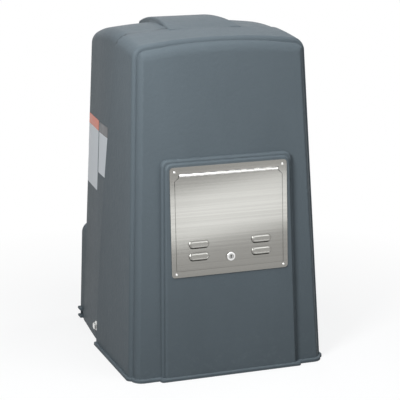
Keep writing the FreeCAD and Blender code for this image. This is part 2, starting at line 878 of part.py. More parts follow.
def lock_cam():
    """Latch tongue, shown turned aside so that the door can open."""
    start = lock_barrel_length + joint_gap
    half = cam_width / 2
    arm = front_prism([(-half, lock_height - half, half - 0.01),
                       (cam_length, lock_height - half, 3.0),
                       (cam_length, lock_height + half, 3.0),
                       (-half, lock_height + half, half - 0.01)], start, start + cam_thickness)
    hole = rod(lock_plug_radius, V(0, 0, lock_height), V(0, 30, lock_height))
    return on_door(arm.cut(hole))


def frame_rivets():
    heads = []
    for side in (-1, 1):
        for height in rivet_heights:
            head = rod(rivet_radius, V(side * rivet_x, -rivet_rise, height),
                       V(side * rivet_x, 0, height))
            heads.append(rounded(head, rivet_rise * 0.8,
                                 lambda edge: edge.BoundBox.YMax < 0.01 - rivet_rise))
    return on_door(Part.makeCompound(heads))


# ---------------------------------------------------------------- chassis
def base_plate():
    body = plan(both_sides([(base_half_width, base_front, 20.0), (base_half_width, base_rear, 6.0)]),
                0).extrude(V(0, 0, base_thickness))
    for side in (-1, 1):
        for y in (-anchor_y, anchor_y):
            body = body.cut(rod(anchor_radius, V(side * anchor_x, y, -1),
                                V(side * anchor_x, y, base_thickness + 1)))
        body = body.cut(rod(conduit_radius, V(side * conduit_x, conduit_y, -1),
                            V(side * conduit_x, conduit_y, base_thickness + 1)))
    return body


def rear_plate():
    top = rear_plate_height
    half = rear_plate_half_width
    body = front_prism(both_sides([(half, base_thickness, 0), (half - 10, top, 18.0)]),
                       rear_plate_y, rear_plate_y + rear_plate_thickness)
    far = rear_plate_y + rear_plate_thickness + 1
    body = body.cut(rod(output_radius + 6, V(0, rear_plate_y - 1, output_z), V(0, far, output_z)))
    for side in (-1, 1):
        body = body.cut(rod(idler_axle_radius, V(side * idler_x, rear_plate_y - 1, idler_z),
                            V(side * idler_x, far, idler_z)))
    return body


def gusset(side):
    """Triangular side web between base plate and rear plate, with a lightening hole."""
    x0 = gusset_x if side > 0 else -gusset_x - gusset_thickness
    web = side_prism([(rear_plate_y, base_thickness, 0), (rear_plate_y, gusset_height, 0),
                      (rear_plate_y - 25, gusset_height, 8.0),
                      (rear_plate_y - gusset_depth, base_thickness + 30, 8.0),
                      (rear_plate_y - gusset_depth, base_thickness, 0)],
                     x0, x0 + gusset_thickness)
    hole = rod(16.0, V(x0 - 1, rear_plate_y - 34, 80), V(x0 + gusset_thickness + 1,
                                                        rear_plate_y - 34, 80))
    return web.cut(hole)


def motor_shelf():
    plate = box(-shelf_half_width, shelf_half_width, shelf_front, rear_plate_y,
                shelf_z, shelf_z + shelf_thickness)
    lip = box(-shelf_half_width, shelf_half_width, shelf_front, shelf_front + shelf_thickness,
              shelf_z - 18, shelf_z)
    side = -1 if belt_x < 0 else 1
    x0 = belt_x - pulley_width / 2 - 4
    x1 = belt_x + pulley_width / 2 + 4
    notch = box(x0, x1, drive_y - worm_pulley_radius - 8, drive_y + worm_pulley_radius + 8,
                shelf_z - 30, shelf_z + 20)
    outer = box(min(x0, side * (shelf_half_width + 5)), x1, shelf_front - 1,
                drive_y + worm_pulley_radius + 8, shelf_z - 30, shelf_z + 20)
    return plate.fuse(lip).cut(notch).cut(outer)


def cover_brackets():
    """Two angles on the base plate that take the cover's side bolts."""
    y0 = bolt_y - bracket_width / 2
    y1 = bolt_y + bracket_width / 2
    foot = box(base_half_width - 22, bracket_x + bracket_thickness, y0, y1,
               base_thickness, base_thickness + bracket_thickness)
    leg = box(bracket_x, bracket_x + bracket_thickness, y0, y1,
              base_thickness, base_thickness + bracket_leg)
    nut = hexagon(bolt_radius * 1.65, 6.0, V(bracket_x, bolt_y, bolt_z), V(-1, 0, 0))
    hole = rod(bolt_radius, V(bracket_x - 10, bolt_y, bolt_z), V(bracket_x + 10, bolt_y, bolt_z))
    right = union([foot, leg, nut]).cut(hole)
    return Part.makeCompound([right, mirrored(right)])


def cover_bolts():
    seat = bolt_seat_x + joint_gap
    washer = rod(bolt_radius * 2.6, V(seat, bolt_y, bolt_z), V(seat + 1.6, bolt_y, bolt_z))
    bolt = hex_bolt(bolt_radius, seat + 1.6 - bracket_x + 8, V(seat + 1.6, bolt_y, bolt_z),
                    V(1, 0, 0))
    right = washer.fuse(bolt)
    return Part.makeCompound([right, mirrored(right)])


# ---------------------------------------------------------------- drive train
def gearbox():
    """Ribbed cast worm reducer with flanges for its bearings."""
    hx = gearbox_half_x
    hy = gearbox_half_y
    body = side_prism([(drive_y - hy, base_thickness, 0), (drive_y + hy, base_thickness, 0),
                       (drive_y + hy, gearbox_top, 16.0), (drive_y - hy, gearbox_top, 16.0)],
                      -hx, hx)
    shape = front_prism([(-hx, base_thickness, 0), (hx, base_thickness, 0),
                         (hx, worm_z + 24, 22.0), (hx - 14, gearbox_top, 10.0),
                         (-hx + 14, gearbox_top, 10.0), (-hx, worm_z + 24, 22.0)],
                        drive_y - hy - 1, drive_y + hy + 1)
    body = body.common(shape)
    foot = box(-hx - 16, hx + 16, drive_y - hy + 8, drive_y + hy - 8,
               base_thickness, base_thickness + gearbox_foot)
    front = rod(52.0, V(0, drive_y - hy - 8, output_z), V(0, drive_y + hy + 8, output_z))
    ends = rod(26.0, V(-hx - 7, drive_y, worm_z), V(hx + 7, drive_y, worm_z))
    body = union([body, foot, front, ends])
    for x in (-48.0, -24.0, 0.0, 24.0, 48.0):
        rib = box(x - 2, x + 2, drive_y - hy - 4, drive_y - hy + 1, output_z + 56, gearbox_top - 14)
        body = body.fuse(rib)
    body = body.cut(rod(output_radius + shaft_clearance, V(0, 0, output_z),
                        V(0, 300, output_z)))
    worm_end = hx - 20
    body = body.cut(rod(worm_radius + shaft_clearance, V(-hx - 20, drive_y, worm_z),
                        V(worm_end, drive_y, worm_z)))
    return body


def bolt_ring(radius, count, pitch_radius, seat, axis, length=10.0, turn=0.5):
    """Hexagon bolts on a circle; seat is the circle's centre on the face."""
    rotation = FreeCAD.Rotation(V(0, 0, 1), axis)
    bolts = []
    for number in range(count):
        angle = 2 * math.pi * (number + turn) / count
        offset = rotation.multVec(V(pitch_radius * math.cos(angle),
                                    pitch_radius * math.sin(angle), 0))
        bolts.append(hexagon(radius * 1.65, radius * 1.3, seat + offset, axis))
    return bolts


def gearbox_bolts():
    front = bolt_ring(3.0, 6, 43.0, V(0, drive_y - gearbox_half_y - 8, output_z), V(0, -1, 0))
    worm = bolt_ring(2.5, 4, 20.0, V(gearbox_half_x + 7, drive_y, worm_z), V(1, 0, 0))
    feet = []
    for side in (-1, 1):
        for y in (drive_y - 26, drive_y + 26):
            feet.append(hexagon(6.5, 5.5, V(side * (gearbox_half_x + 8), y,
                                            base_thickness + gearbox_foot), V(0, 0, 1)))
    return Part.makeCompound(front + worm + feet)


def output_shaft():
    front = drive_y - gearbox_half_y - 16
    rear = sprocket_y + sprocket_thickness + 8
    shaft = rod(output_radius, V(0, front, output_z), V(0, rear, output_z))
    return shaft.makeChamfer(1.0, [edge for edge in shaft.Edges
                                   if edge.BoundBox.YMax - edge.BoundBox.YMin < 0.01])


def drive_sprocket():
    """Roller-chain sprocket: roller seats cut into a blank, with a hub on the shaft."""
    pitch_radius = chain_pitch / (2 * math.sin(math.pi / sprocket_teeth))
    tip_radius = pitch_radius + 0.32 * chain_pitch
    y0 = sprocket_y
    y1 = sprocket_y + sprocket_thickness
    blank = rod(tip_radius, V(0, y0, output_z), V(0, y1, output_z))
    seats = []
    for tooth in range(sprocket_teeth):
        angle = 2 * math.pi * tooth / sprocket_teeth
        across = V(math.cos(angle), 0, math.sin(angle))
        side = V(-math.sin(angle), 0, math.cos(angle))
        centre = V(0, y0 - 1, output_z) + across * pitch_radius
        wide = chain_roller_radius
        outer = across * (tip_radius - pitch_radius + 2)
        flare = side * (wide + 1.6)
        wedge = Part.Face(Part.makePolygon([centre + side * wide, centre + outer + flare,
                                            centre + outer - flare, centre - side * wide,
                                            centre + side * wide]))
        seats.append(rod(wide, centre, centre + V(0, sprocket_thickness + 2, 0)))
        seats.append(wedge.extrude(V(0, sprocket_thickness + 2, 0)))
    body = blank.cut(seats)
    hub = rod(output_radius + sprocket_hub_wall, V(0, y0 - sprocket_hub_length, output_z),
              V(0, y1, output_z))
    return body.fuse(hub).cut(rod(output_radius, V(0, 0, output_z), V(0, 300, output_z)))


def limit_screw():
    """Threaded extension of the output shaft that carries the limit nuts."""
    start = drive_y - gearbox_half_y - 16
    core = rod(limit_screw_radius - 1.2, V(0, limit_screw_front, output_z), V(0, start, output_z))
    rings = []
    y = limit_screw_front + 4
    while y < start - 14:
        rings.append(rod(limit_screw_radius, V(0, y, output_z),
                         V(0, y + limit_screw_pitch / 2, output_z)))
        y += limit_screw_pitch
    collar = rod(output_radius - 2, V(0, start - 10, output_z), V(0, start, output_z))
    return union([core, collar] + rings)


def limit_nut(place):
    y0 = place - limit_nut_width / 2
    disc = rod(limit_nut_radius, V(0, y0, output_z), V(0, y0 + limit_nut_width, output_z))
    notches = []
    for number in range(8):
        angle = 2 * math.pi * number / 8
        centre = V(limit_nut_radius * math.cos(angle), y0 - 1,
                   output_z + limit_nut_radius * math.sin(angle))
        notches.append(rod(2.4, centre, centre + V(0, limit_nut_width + 2, 0)))
    hole = rod(limit_screw_radius + shaft_clearance, V(0, -200, output_z), V(0, 200, output_z))
    return disc.cut(notches).cut(hole)


def limit_bracket():
    """Upright that holds the end of the limit screw, the nut guide and the switches."""
    y0 = limit_screw_front - 1
    web_x = limit_nut_radius + limit_web_gap
    far_x = web_x + limit_sheet
    front = y0 - limit_ear_sheet
    foot = box(-limit_ear_side, far_x, y0 - limit_foot_depth, y0, base_thickness,
               base_thickness + limit_ear_sheet)
    ear = box(-limit_ear_side, far_x, front, y0, base_thickness, output_z + limit_ear_rise)
    ear = ear.fuse(rod(limit_boss_radius, V(0, front, output_z), V(0, y0, output_z)))
    guide_z = output_z + limit_nut_radius + limit_guide_gap
    top = guide_z + limit_sheet
    guide = box(-limit_guide_side, far_x, y0, limit_web_end, guide_z, top)
    web = box(web_x, far_x, y0, limit_web_end, output_z - limit_web_drop, top)
    return union([foot, ear, guide, web])


def limit_switches():
    """Two snap-action switches with their roller levers, beside the screw."""
    switches = []
    web_x = limit_nut_radius + limit_web_gap
    body_x = web_x - snap_depth
    tip_x = body_x - snap_button_rise
    button_z = output_z - snap_button_drop
    for y in snap_places:
        body = box(body_x, web_x, y - snap_half_length, y + snap_half_length,
                   output_z - snap_low, output_z + snap_high)
        button = rod(snap_button_radius, V(tip_x, y, button_z), V(body_x, y, button_z))
        lever = box(tip_x - snap_lever_sheet, tip_x, y - snap_half_length + 1,
                    y + snap_half_length - 2, button_z - 2, button_z + 2)
        switches.append(union([body, button, lever]))
    return Part.makeCompound(switches)


def grooved_pulley(radius, bore, z):
    """Pulley with a V groove and a hub."""
    half = pulley_width / 2
    belt_half = belt_top_width / 2
    base = belt_half * 0.55
    centre = V(belt_x, drive_y, z)
    profile = [(-half, 0), (-half, radius), (-belt_half, radius), (-base, radius - belt_depth - 1),
               (base, radius - belt_depth - 1), (belt_half, radius), (half, radius), (half, 0)]
    points = [centre + V(a, 0, b) for a, b in profile]
    body = Part.Face(Part.makePolygon(points + points[:1])).revolve(centre, V(1, 0, 0), 360)
    hole = rod(bore, centre - V(60, 0, 0), centre + V(60, 0, 0))
    return body.cut(hole)


def worm_pulley():
    body = grooved_pulley(worm_pulley_radius, worm_radius, worm_z)
    holes = []
    for number in range(5):
        angle = 2 * math.pi * number / 5
        centre = V(belt_x - 60, drive_y + 25 * math.cos(angle), worm_z + 25 * math.sin(angle))
        holes.append(rod(6.5, centre, centre + V(120, 0, 0)))
    return body.cut(holes)


def worm_shaft():
    return rod(worm_radius, V(belt_x - pulley_width / 2 - 3, drive_y, worm_z),
               V(gearbox_half_x - 21, drive_y, worm_z))


def drive_belt():
    """Endless V-belt round both pulleys, clear of the grooves by a small gap."""
    lift = belt_clearance
    centres = ((worm_z, worm_pulley_radius), (motor_z, motor_pulley_radius))

    def loop(extra, half):
        (low_z, low_r), (high_z, high_r) = centres
        low_r += extra
        high_r += extra
        tilt = math.asin((low_r - high_r) / (high_z - low_z))
        cos, sin = math.cos(tilt), math.sin(tilt)
        x = belt_x - half
        low_right = V(x, drive_y + low_r * cos, low_z + low_r * sin)
        high_right = V(x, drive_y + high_r * cos, high_z + high_r * sin)
        low_left = V(x, 2 * drive_y - low_right.y, low_right.z)
        high_left = V(x, 2 * drive_y - high_right.y, high_right.z)
        wire = Part.Wire([
            Part.makeLine(low_right, high_right),
            Part.Arc(high_right, V(x, drive_y, high_z + high_r), high_left).toShape(),
            Part.makeLine(high_left, low_left),
            Part.Arc(low_left, V(x, drive_y, low_z - low_r), low_right).toShape(),
        ])
        return Part.Face(wire).extrude(V(2 * half, 0, 0))

    belt_half = belt_top_width / 2
    slope = (belt_half - belt_half * 0.55) / (belt_depth + 1)
    layers = 4
    step = belt_depth / layers
    rings = []
    for layer in range(layers):
        outer = -layer * step
        half = belt_half - slope * (layer + 1) * step - lift
        rings.append(loop(outer, half).cut(loop(outer - step, half + 1)))
    return union(rings)


def idler_axles():
    axles = []
    seat = sprocket_y + sprocket_thickness / 2 + idler_width / 2 + joint_gap
    for side in (-1, 1):
        place = V(side * idler_x, seat, idler_z)
        back = rear_plate_y - 8
        bolt = hex_bolt(idler_axle_radius, seat - back, place, V(0, 1, 0))
        nut = hexagon(9.5, 5.5, V(side * idler_x, rear_plate_y, idler_z), V(0, -1, 0))
        collar_end = sprocket_y + sprocket_thickness / 2 - idler_width / 2 - joint_gap
        collar = rod(9.0, V(side * idler_x, rear_plate_y + rear_plate_thickness, idler_z),
                     V(side * idler_x, collar_end, idler_z))
        axles.append(union([bolt, nut, collar]))
    return Part.makeCompound(axles)


def idler_wheel(side):
    """Grooved guide wheel that leads the chain under the sprocket."""
    middle = sprocket_y + sprocket_thickness / 2
    half = idler_width / 2
    centre = V(side * idler_x, middle, idler_z)
    profile = [(-half, 0), (-half, idler_radius), (-half + 2, idler_radius),
               (-half + 3.5, idler_radius - 5), (half - 3.5, idler_radius - 5),
               (half - 2, idler_radius), (half, idler_radius), (half, 0)]
    points = [centre + V(0, a, b) for a, b in profile]
    body = Part.Face(Part.makePolygon(points + points[:1])).revolve(centre, V(0, 1, 0), 360)
    hole = rod(idler_axle_radius + shaft_clearance, centre - V(0, 30, 0), centre + V(0, 30, 0))
    return body.cut(hole)


def motor_stator():
    """Laminated core between the end bells, with through-bolt flutes."""
    body = rod(motor_radius, V(motor_left, drive_y, motor_z), V(motor_right, drive_y, motor_z))
    for number in range(4):
        angle = math.radians(45 + 90 * number)
        centre = V(motor_left - 1, drive_y + motor_radius * math.cos(angle),
                   motor_z + motor_radius * math.sin(angle))
        body = body.cut(rod(5.0, centre, centre + V(motor_right - motor_left + 2, 0, 0)))
    bore = rod(motor_shaft_radius + 4, V(motor_left - 1, drive_y, motor_z),
               V(motor_right + 1, drive_y, motor_z))
    return body.cut(bore)


def end_bell(start, direction):
    """Cast end shield with vent slots and a bearing hub."""
    end = start + direction * bell_length
    body = rod(motor_radius + 2, V(start, drive_y, motor_z), V(end, drive_y, motor_z))
    body = rounded(body, 9.0, lambda edge: abs(edge.BoundBox.XMin - end) < 0.01
                   and abs(edge.BoundBox.XMax - end) < 0.01)
    vents = []
    for number in range(8):
        angle = math.pi * (number + 0.5) / 4
        centre = V(start + direction * 8, drive_y + 42 * math.cos(angle),
                   motor_z + 42 * math.sin(angle))
        vents.append(rod(8.0, centre, centre + V(direction * 30, 0, 0)))
    bore = rod(motor_shaft_radius + shaft_clearance, V(start - 60, drive_y, motor_z),
               V(start + 60, drive_y, motor_z))
    return body.cut(vents).cut(bore)


def motor_cradle():
    """Welded foot that carries the motor on its shelf."""
    low = shelf_z + shelf_thickness
    plates = []
    half = cradle_half_depth
    top = motor_z - cradle_drop
    for x in (motor_left + cradle_inset, motor_right - cradle_inset - cradle_sheet):
        plates.append(side_prism([(drive_y - half, low, 0), (drive_y + half, low, 0),
                                  (drive_y + half, top, 4.0),
                                  (drive_y - half, top, 4.0)], x, x + cradle_sheet))
    foot = box(motor_left + 4, motor_right - 4, drive_y - cradle_foot_half_depth,
               drive_y + cradle_foot_half_depth, low, low + cradle_foot_sheet)
    body = union([foot] + plates)
    return body.cut(rod(motor_radius, V(-200, drive_y, motor_z), V(200, drive_y, motor_z)))


def motor_bolts():
    heads = []
    low = shelf_z + shelf_thickness + cradle_foot_sheet
    for x in (motor_left + 10, motor_right - 10):
        for y in (drive_y - cradle_half_depth - 1, drive_y + cradle_half_depth + 1):
            heads.append(hexagon(3.6, 3.5, V(x, y, low), V(0, 0, 1)))
    return Part.makeCompound(heads)


def brake_housing():
    start = motor_right + bell_length
    end = start + brake_length
    body = rod(brake_radius, V(start, drive_y, motor_z), V(end, drive_y, motor_z))
    body = rounded(body, 5.0, lambda edge: edge.BoundBox.XMin > end - 0.01)
    bore = rod(motor_shaft_radius + shaft_clearance, V(start - 1, drive_y, motor_z),
               V(end - 8, drive_y, motor_z))
    body = body.cut(bore)
    stud_z = motor_z + brake_stud_rise
    stud = rod(brake_stud_radius, V(end - 1, drive_y, stud_z),
               V(end + lever_sheet * 2, drive_y, stud_z))
    return body.fuse(stud)


def release_lever():
    """Hand lever that lifts the brake so that the gate can be pushed."""
    x0 = motor_right + bell_length + brake_length + joint_gap
    x1 = x0 + lever_sheet
    z = motor_z + brake_stud_rise
    bar = front_pad(x0, x1, drive_y, z, lever_half_width, lever_reach)
    hole = rod(brake_stud_radius + shaft_clearance, V(x0 - 5, drive_y, z),
               V(x0 + 20, drive_y, z))
    knob_y = drive_y - lever_reach
    knob_end = x1 + lever_knob_length
    knob = rod(lever_knob_radius, V(x1, knob_y, z), V(knob_end, knob_y, z))
    knob = rounded(knob, 3.0, lambda edge: edge.BoundBox.XMin > knob_end - 0.1)
    return bar.cut(hole).fuse(knob)


def front_pad(x0, x1, y, z, half, reach):
    """Lever plate lying in a YZ plane, from its pivot at (y, z) towards the front."""
    return side_prism([(y + half, z - half, half - 0.1), (y + half, z + half, half - 0.1),
                       (y - reach - half, z + half, half - 0.1),
                       (y - reach - half, z - half, half - 0.1)], x0, x1)


def motor_shaft():
    return rod(motor_shaft_radius, V(belt_x - pulley_width / 2 - 3, drive_y, motor_z),
               V(motor_right + bell_length + brake_length - 9, drive_y, motor_z))


def motor_pulley():
    return grooved_pulley(motor_pulley_radius, motor_shaft_radius, motor_z)


# ---------------------------------------------------------------- controls
def run_capacitor():
    x, y = capacitor_place
    low = base_thickness
    can = rod(capacitor_radius, V(x, y, low), V(x, y, low + capacitor_height))
    can = rounded(can, 3.0, lambda edge: edge.BoundBox.ZMin > low + capacitor_height - 0.01)
    tabs = [box(x + s * 9 - 3, x + s * 9 + 3, y - 0.5, y + 0.5, low + capacitor_height,
                low + capacitor_height + 9) for s in (-1, 1)]
    return union([can] + tabs)


def capacitor_clamp():
    x, y = capacitor_place
    low, high = clamp_heights
    half = clamp_foot_half_width
    ring = tube(capacitor_radius + clamp_wall, capacitor_radius, V(x, y, low), V(x, y, high))
    foot = box(x - half, x + half, y + capacitor_radius + 1, y + capacitor_radius + 4,
               base_thickness, high)
    tab = box(x - half, x + half, y + capacitor_radius + 1, y + capacitor_radius + 18,
              base_thickness, base_thickness + 3)
    return union([ring, foot, tab])


def control_panel():
    """Folded sheet panel that carries the electrics behind the access door."""
    back = panel_y + panel_thickness
    sheet_part = box(-panel_half_width, panel_half_width, panel_y, back, panel_low, panel_high)
    parts = [sheet_part]
    for side in (-1, 1):
        x = side * panel_half_width
        x0, x1 = sorted((x, x - side * panel_thickness))
        parts.append(box(x0, x1, panel_y, panel_y + panel_flange, panel_low, panel_high))
        inner = side * panel_leg_x
        a, b = sorted((inner - side * panel_leg_width, inner))
        parts.append(box(a, b, panel_y, back, base_thickness, panel_low))
        x0, x1 = sorted((inner, inner - side * panel_thickness))
        parts.append(box(x0, x1, panel_y, panel_y + panel_flange, base_thickness, panel_low + 20))
        parts.append(box(a, b, panel_y, panel_y + panel_flange, base_thickness,
                         base_thickness + panel_thickness))
    parts.append(box(-panel_half_width, panel_half_width, panel_y, panel_y + panel_flange,
                     panel_high - panel_thickness, panel_high))
    return union(parts)


def board_standoffs():
    posts = []
    for side in (-1, 1):
        for z in (board_low + standoff_inset, board_high - standoff_inset):
            x = side * (board_half_width - standoff_inset)
            posts.append(rod(standoff_radius, V(x, panel_y, z), V(x, panel_y - board_standoff, z)))
    return Part.makeCompound(posts)


def control_board():
    return box(-board_half_width, board_half_width, board_front, board_y, board_low, board_high)


def terminal_blocks():
    """Screw terminals along the board's lower edge, with their wire mouths."""
    front = board_front
    screw_z = board_low + 15
    blocks = []
    for x0 in terminal_starts:
        body = box(x0, x0 + terminal_count * terminal_pitch, front - terminal_depth, front,
                   board_low + terminal_low, board_low + terminal_high)
        mouths = []
        for number in range(terminal_count):
            x = x0 + terminal_pitch * (number + 0.5)
            mouths.append(box(x - 2.8, x + 2.8, front - 10, front - 4, board_low, board_low + 10))
            mouths.append(rod(2.2, V(x, front - 20, screw_z), V(x, front - 10, screw_z)))
        blocks.append(body.cut(mouths))
    return Part.makeCompound(blocks)


def relays():
    found = [box(x, x + relay_width, board_front - relay_depth, board_front,
                 board_low + relay_low, board_low + relay_high) for x in relay_starts]
    return Part.makeCompound(found)


def board_parts():
    """Smoothing capacitors, processor and plug-in modules on the board."""
    front = board_front
    can_z = board_low + filter_lift
    key_z = board_low + key_lift
    cans = [rod(filter_radius, V(x, front, can_z), V(x, front - filter_length, can_z))
            for x in filter_places]
    chip = box(*chip_x, front - chip_depth, front, board_low + chip_lift[0],
               board_low + chip_lift[1])
    card = box(*card_x, front - card_depth, front, board_low + card_lift[0],
               board_low + card_lift[1])
    keys = [rod(key_radius, V(x, front, key_z), V(x, front - key_depth, key_z))
            for x in key_places]
    return Part.makeCompound(cans + [chip, card] + keys)


def transformer():
    """Laminated mains transformer with its coil."""
    x0, x1 = transformer_x
    z0, z1 = transformer_z
    front = panel_y - transformer_depth
    coil_front = front - coil_rise
    core = box(x0, x1, front, panel_y, z0, z1)
    coil = box(x0 + coil_inset, x1 - coil_inset, coil_front, panel_y - 1, z0 + coil_inset,
               z1 - coil_inset)
    coil = rounded(coil, coil_edge_radius, lambda edge: edge.BoundBox.YMax < coil_front + 0.1)
    return core.fuse(coil)


def switch_plate():
    """Small panel with the power switch, the reset button and a service outlet."""
    y0 = switch_plate_y
    y1 = y0 + switch_plate_sheet
    plate = box(-switch_plate_half_width, switch_plate_half_width, y0, y1, switch_plate_low,
                switch_plate_high)
    parts = [plate]
    for side in (-1, 1):
        x = side * switch_plate_half_width
        x0, x1 = sorted((x, x - side * switch_plate_sheet))
        parts.append(box(x0, x1, y0, panel_y, switch_plate_low, switch_plate_high))
    body = union(parts)
    half = rocker_half_width + rocker_room_gap + rocker_wall + fitting_gap
    tall = rocker_body_half_height + fitting_gap
    body = body.cut(box(rocker_x - half, rocker_x + half, y0 - 1, y1 + 1,
                        switch_middle - tall, switch_middle + tall))
    body = body.cut(rod(button_hole_radius, V(button_x, y0 - 1, switch_middle),
                        V(button_x, y1 + 1, switch_middle)))
    tall = outlet_half_height + 2
    return body.cut(box(outlet_x[0] - 2, outlet_x[1] + 2, y0 - 1, y1 + 1,
                        switch_middle - tall, switch_middle + tall))


def rocker_frame():
    y0 = switch_plate_y
    half = rocker_half_width + rocker_room_gap + rocker_wall
    tall = rocker_body_half_height
    bezel = box(rocker_x - half - rocker_bezel, rocker_x + half + rocker_bezel,
                y0 - fitting_rise, y0, switch_middle - tall - rocker_bezel,
                switch_middle + tall + rocker_bezel)
    body = bezel.fuse(box(rocker_x - half, rocker_x + half, y0, y0 + rocker_body_depth,
                          switch_middle - tall, switch_middle + tall))
    room = rocker_half_width + rocker_room_gap
    body = body.cut(box(rocker_x - room, rocker_x + room, y0 - 3, y0 + rocker_room_depth,
                        switch_middle - 12, switch_middle + 12))
    y = y0 + rocker_pivot_depth
    return body.cut(rod(rocker_pivot_radius + shaft_clearance,
                        V(rocker_x - rocker_pivot_half - 2, y, switch_middle),
                        V(rocker_x + rocker_pivot_half + 2, y, switch_middle)))


def rocker():
    """Rocker of the power switch, pivoting across its middle."""
    y0 = switch_plate_y
    low = switch_middle - rocker_rise
    high = switch_middle + rocker_rise - 0.7
    body = side_prism([(y0 + 7, low, 1.0), (y0 - 1, low, 1.0), (y0 - 2.4, switch_middle, 0.5),
                       (y0 - 5.2, high, 1.0), (y0 + 4, high, 1.0)],
                      rocker_x - rocker_half_width, rocker_x + rocker_half_width)
    y = y0 + rocker_pivot_depth
    return body.fuse(rod(rocker_pivot_radius, V(rocker_x - rocker_pivot_half, y, switch_middle),
                         V(rocker_x + rocker_pivot_half, y, switch_middle)))


def button_rod(radius, front, back):
    """Cylinder on the reset button's axis, between two depths from the switch plate."""
    return rod(radius, V(button_x, switch_plate_y + front, switch_middle),
               V(button_x, switch_plate_y + back, switch_middle))


def button_guide():
    ring = button_rod(button_ring_radius, -button_ring_rise, 0)
    sleeve = button_rod(button_guide_radius, 0, button_guide_depth)
    hole = button_rod(button_radius + shaft_clearance, -10, button_room_depth)
    return ring.fuse(sleeve).cut(hole)


def reset_button():
    front = switch_plate_y - button_rise
    cap = button_rod(button_radius, -button_rise, button_depth)
    return rounded(cap, button_edge_radius, lambda edge: edge.BoundBox.YMax < front + 0.1)


def service_outlet():
    """Twin three-pin outlet."""
    y0 = switch_plate_y
    x0, x1 = outlet_x
    tall = outlet_half_height
    across, up = outlet_flange
    body = box(x0 - across, x1 + across, y0 - fitting_rise, y0, switch_middle - tall - up,
               switch_middle + tall + up)
    body = body.fuse(box(x0, x1, y0, y0 + outlet_depth, switch_middle - tall,
                         switch_middle + tall))
    for x in outlet_sockets:
        for dx in (-5.0, 5.0):
            body = body.cut(box(x + dx - 1, x + dx + 1, y0 - 3, y0 + 10, switch_middle,
                                switch_middle + 8))
        body = body.cut(rod(2.5, V(x, y0 - 3, switch_middle - 7), V(x, y0 + 10,
                                                                    switch_middle - 7)))
    return body


def battery(side):
    wide, deep, tall = battery_size
    low = base_thickness + tray_sheet
    x0 = battery_inner_x if side > 0 else -battery_inner_x - wide
    body = box(x0, x0 + wide, battery_front_y, battery_front_y + deep, low, low + tall)
    body = rounded(body, 2.5, lambda edge: edge.BoundBox.ZLength > tall - 1)
    lid = box(x0 + 2, x0 + wide - 2, battery_front_y + 2, battery_front_y + deep - 2,
              low + tall, low + tall + 3)
    posts = [box(x0 + wide / 2 - 3, x0 + wide / 2 + 3, y - 0.5, y + 0.5, low + tall + 3,
                 low + tall + 9) for y in (battery_front_y + 14, battery_front_y + deep - 14)]
    return union([body, lid] + posts)


def battery_trays():
    wide, deep, tall = battery_size
    gap = 0.5
    x0 = battery_inner_x
    outer = box(x0 - gap - tray_sheet, x0 + wide + gap + tray_sheet,
                battery_front_y - gap - tray_sheet, battery_front_y + deep + gap + tray_sheet,
                base_thickness, base_thickness + tray_sheet + tray_lip)
    inner = box(x0 - gap, x0 + wide + gap, battery_front_y - gap, battery_front_y + deep + gap,
                base_thickness + tray_sheet, 60)
    right = outer.cut(inner)
    return Part.makeCompound([right, mirrored(right)])


def nodes():
    return {
        "cover_hood": cover_hood(),
        "door_frame": door_frame(),
        "frame_rivets": frame_rivets(),
        "hinge_frame_half": hinge_half(0, 1),
        "hinge_pin": hinge_pin(),
        "door_leaf": door_leaf(),
        "hinge_door_half": hinge_half(1, -1),
        "lock_barrel": lock_barrel(),
        "lock_nut": lock_nut(),
        "lock_plug": lock_plug(),
        "lock_cam": lock_cam(),
        "base_plate": base_plate(),
        "rear_plate": rear_plate(),
        "left_gusset": gusset(-1),
        "right_gusset": gusset(1),
        "motor_shelf": motor_shelf(),
        "cover_brackets": cover_brackets(),
        "cover_bolts": cover_bolts(),
        "gearbox": gearbox(),
        "gearbox_bolts": gearbox_bolts(),
        "output_shaft": output_shaft(),
        "drive_sprocket": drive_sprocket(),
        "limit_screw": limit_screw(),
        "open_limit_nut": limit_nut(limit_nut_places[0]),
        "close_limit_nut": limit_nut(limit_nut_places[1]),
        "limit_bracket": limit_bracket(),
        "limit_switches": limit_switches(),
        "worm_shaft": worm_shaft(),
        "worm_pulley": worm_pulley(),
        "drive_belt": drive_belt(),
        "idler_axles": idler_axles(),
        "left_idler": idler_wheel(-1),
        "right_idler": idler_wheel(1),
        "motor_stator": motor_stator(),
        "drive_end_bell": end_bell(motor_left, -1),
        "brake_end_bell": end_bell(motor_right, 1),
        "motor_cradle": motor_cradle(),
        "motor_bolts": motor_bolts(),
        "brake_housing": brake_housing(),
        "release_lever": release_lever(),
        "motor_shaft": motor_shaft(),
        "motor_pulley": motor_pulley(),
        "run_capacitor": run_capacitor(),
        "capacitor_clamp": capacitor_clamp(),
        "control_panel": control_panel(),
        "board_standoffs": board_standoffs(),
        "control_board": control_board(),
        "terminal_blocks": terminal_blocks(),
        "relays": relays(),
        "board_parts": board_parts(),
        "transformer": transformer(),
        "switch_plate": switch_plate(),
        "rocker_frame": rocker_frame(),
        "power_rocker": rocker(),
        "button_guide": button_guide(),
        "reset_button": reset_button(),
        "service_outlet": service_outlet(),
        "left_battery": battery(-1),
        "right_battery": battery(1),
        "battery_trays": battery_trays(),
    }


os.makedirs("parts", exist_ok=True)
for name, shape in nodes().items():
    shape.exportStep("parts/" + name + ".step")
    print(name, len(shape.Solids), round(shape.Volume), shape.isValid())
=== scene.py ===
"""Dresses a sliding gate operator.

It covers the moulded cover, stainless access door, chassis, drive and controls.
"""

import math

import bmesh
import bpy
from bpy.props import FloatProperty, FloatVectorProperty, PointerProperty
from mathutils import Matrix, Vector


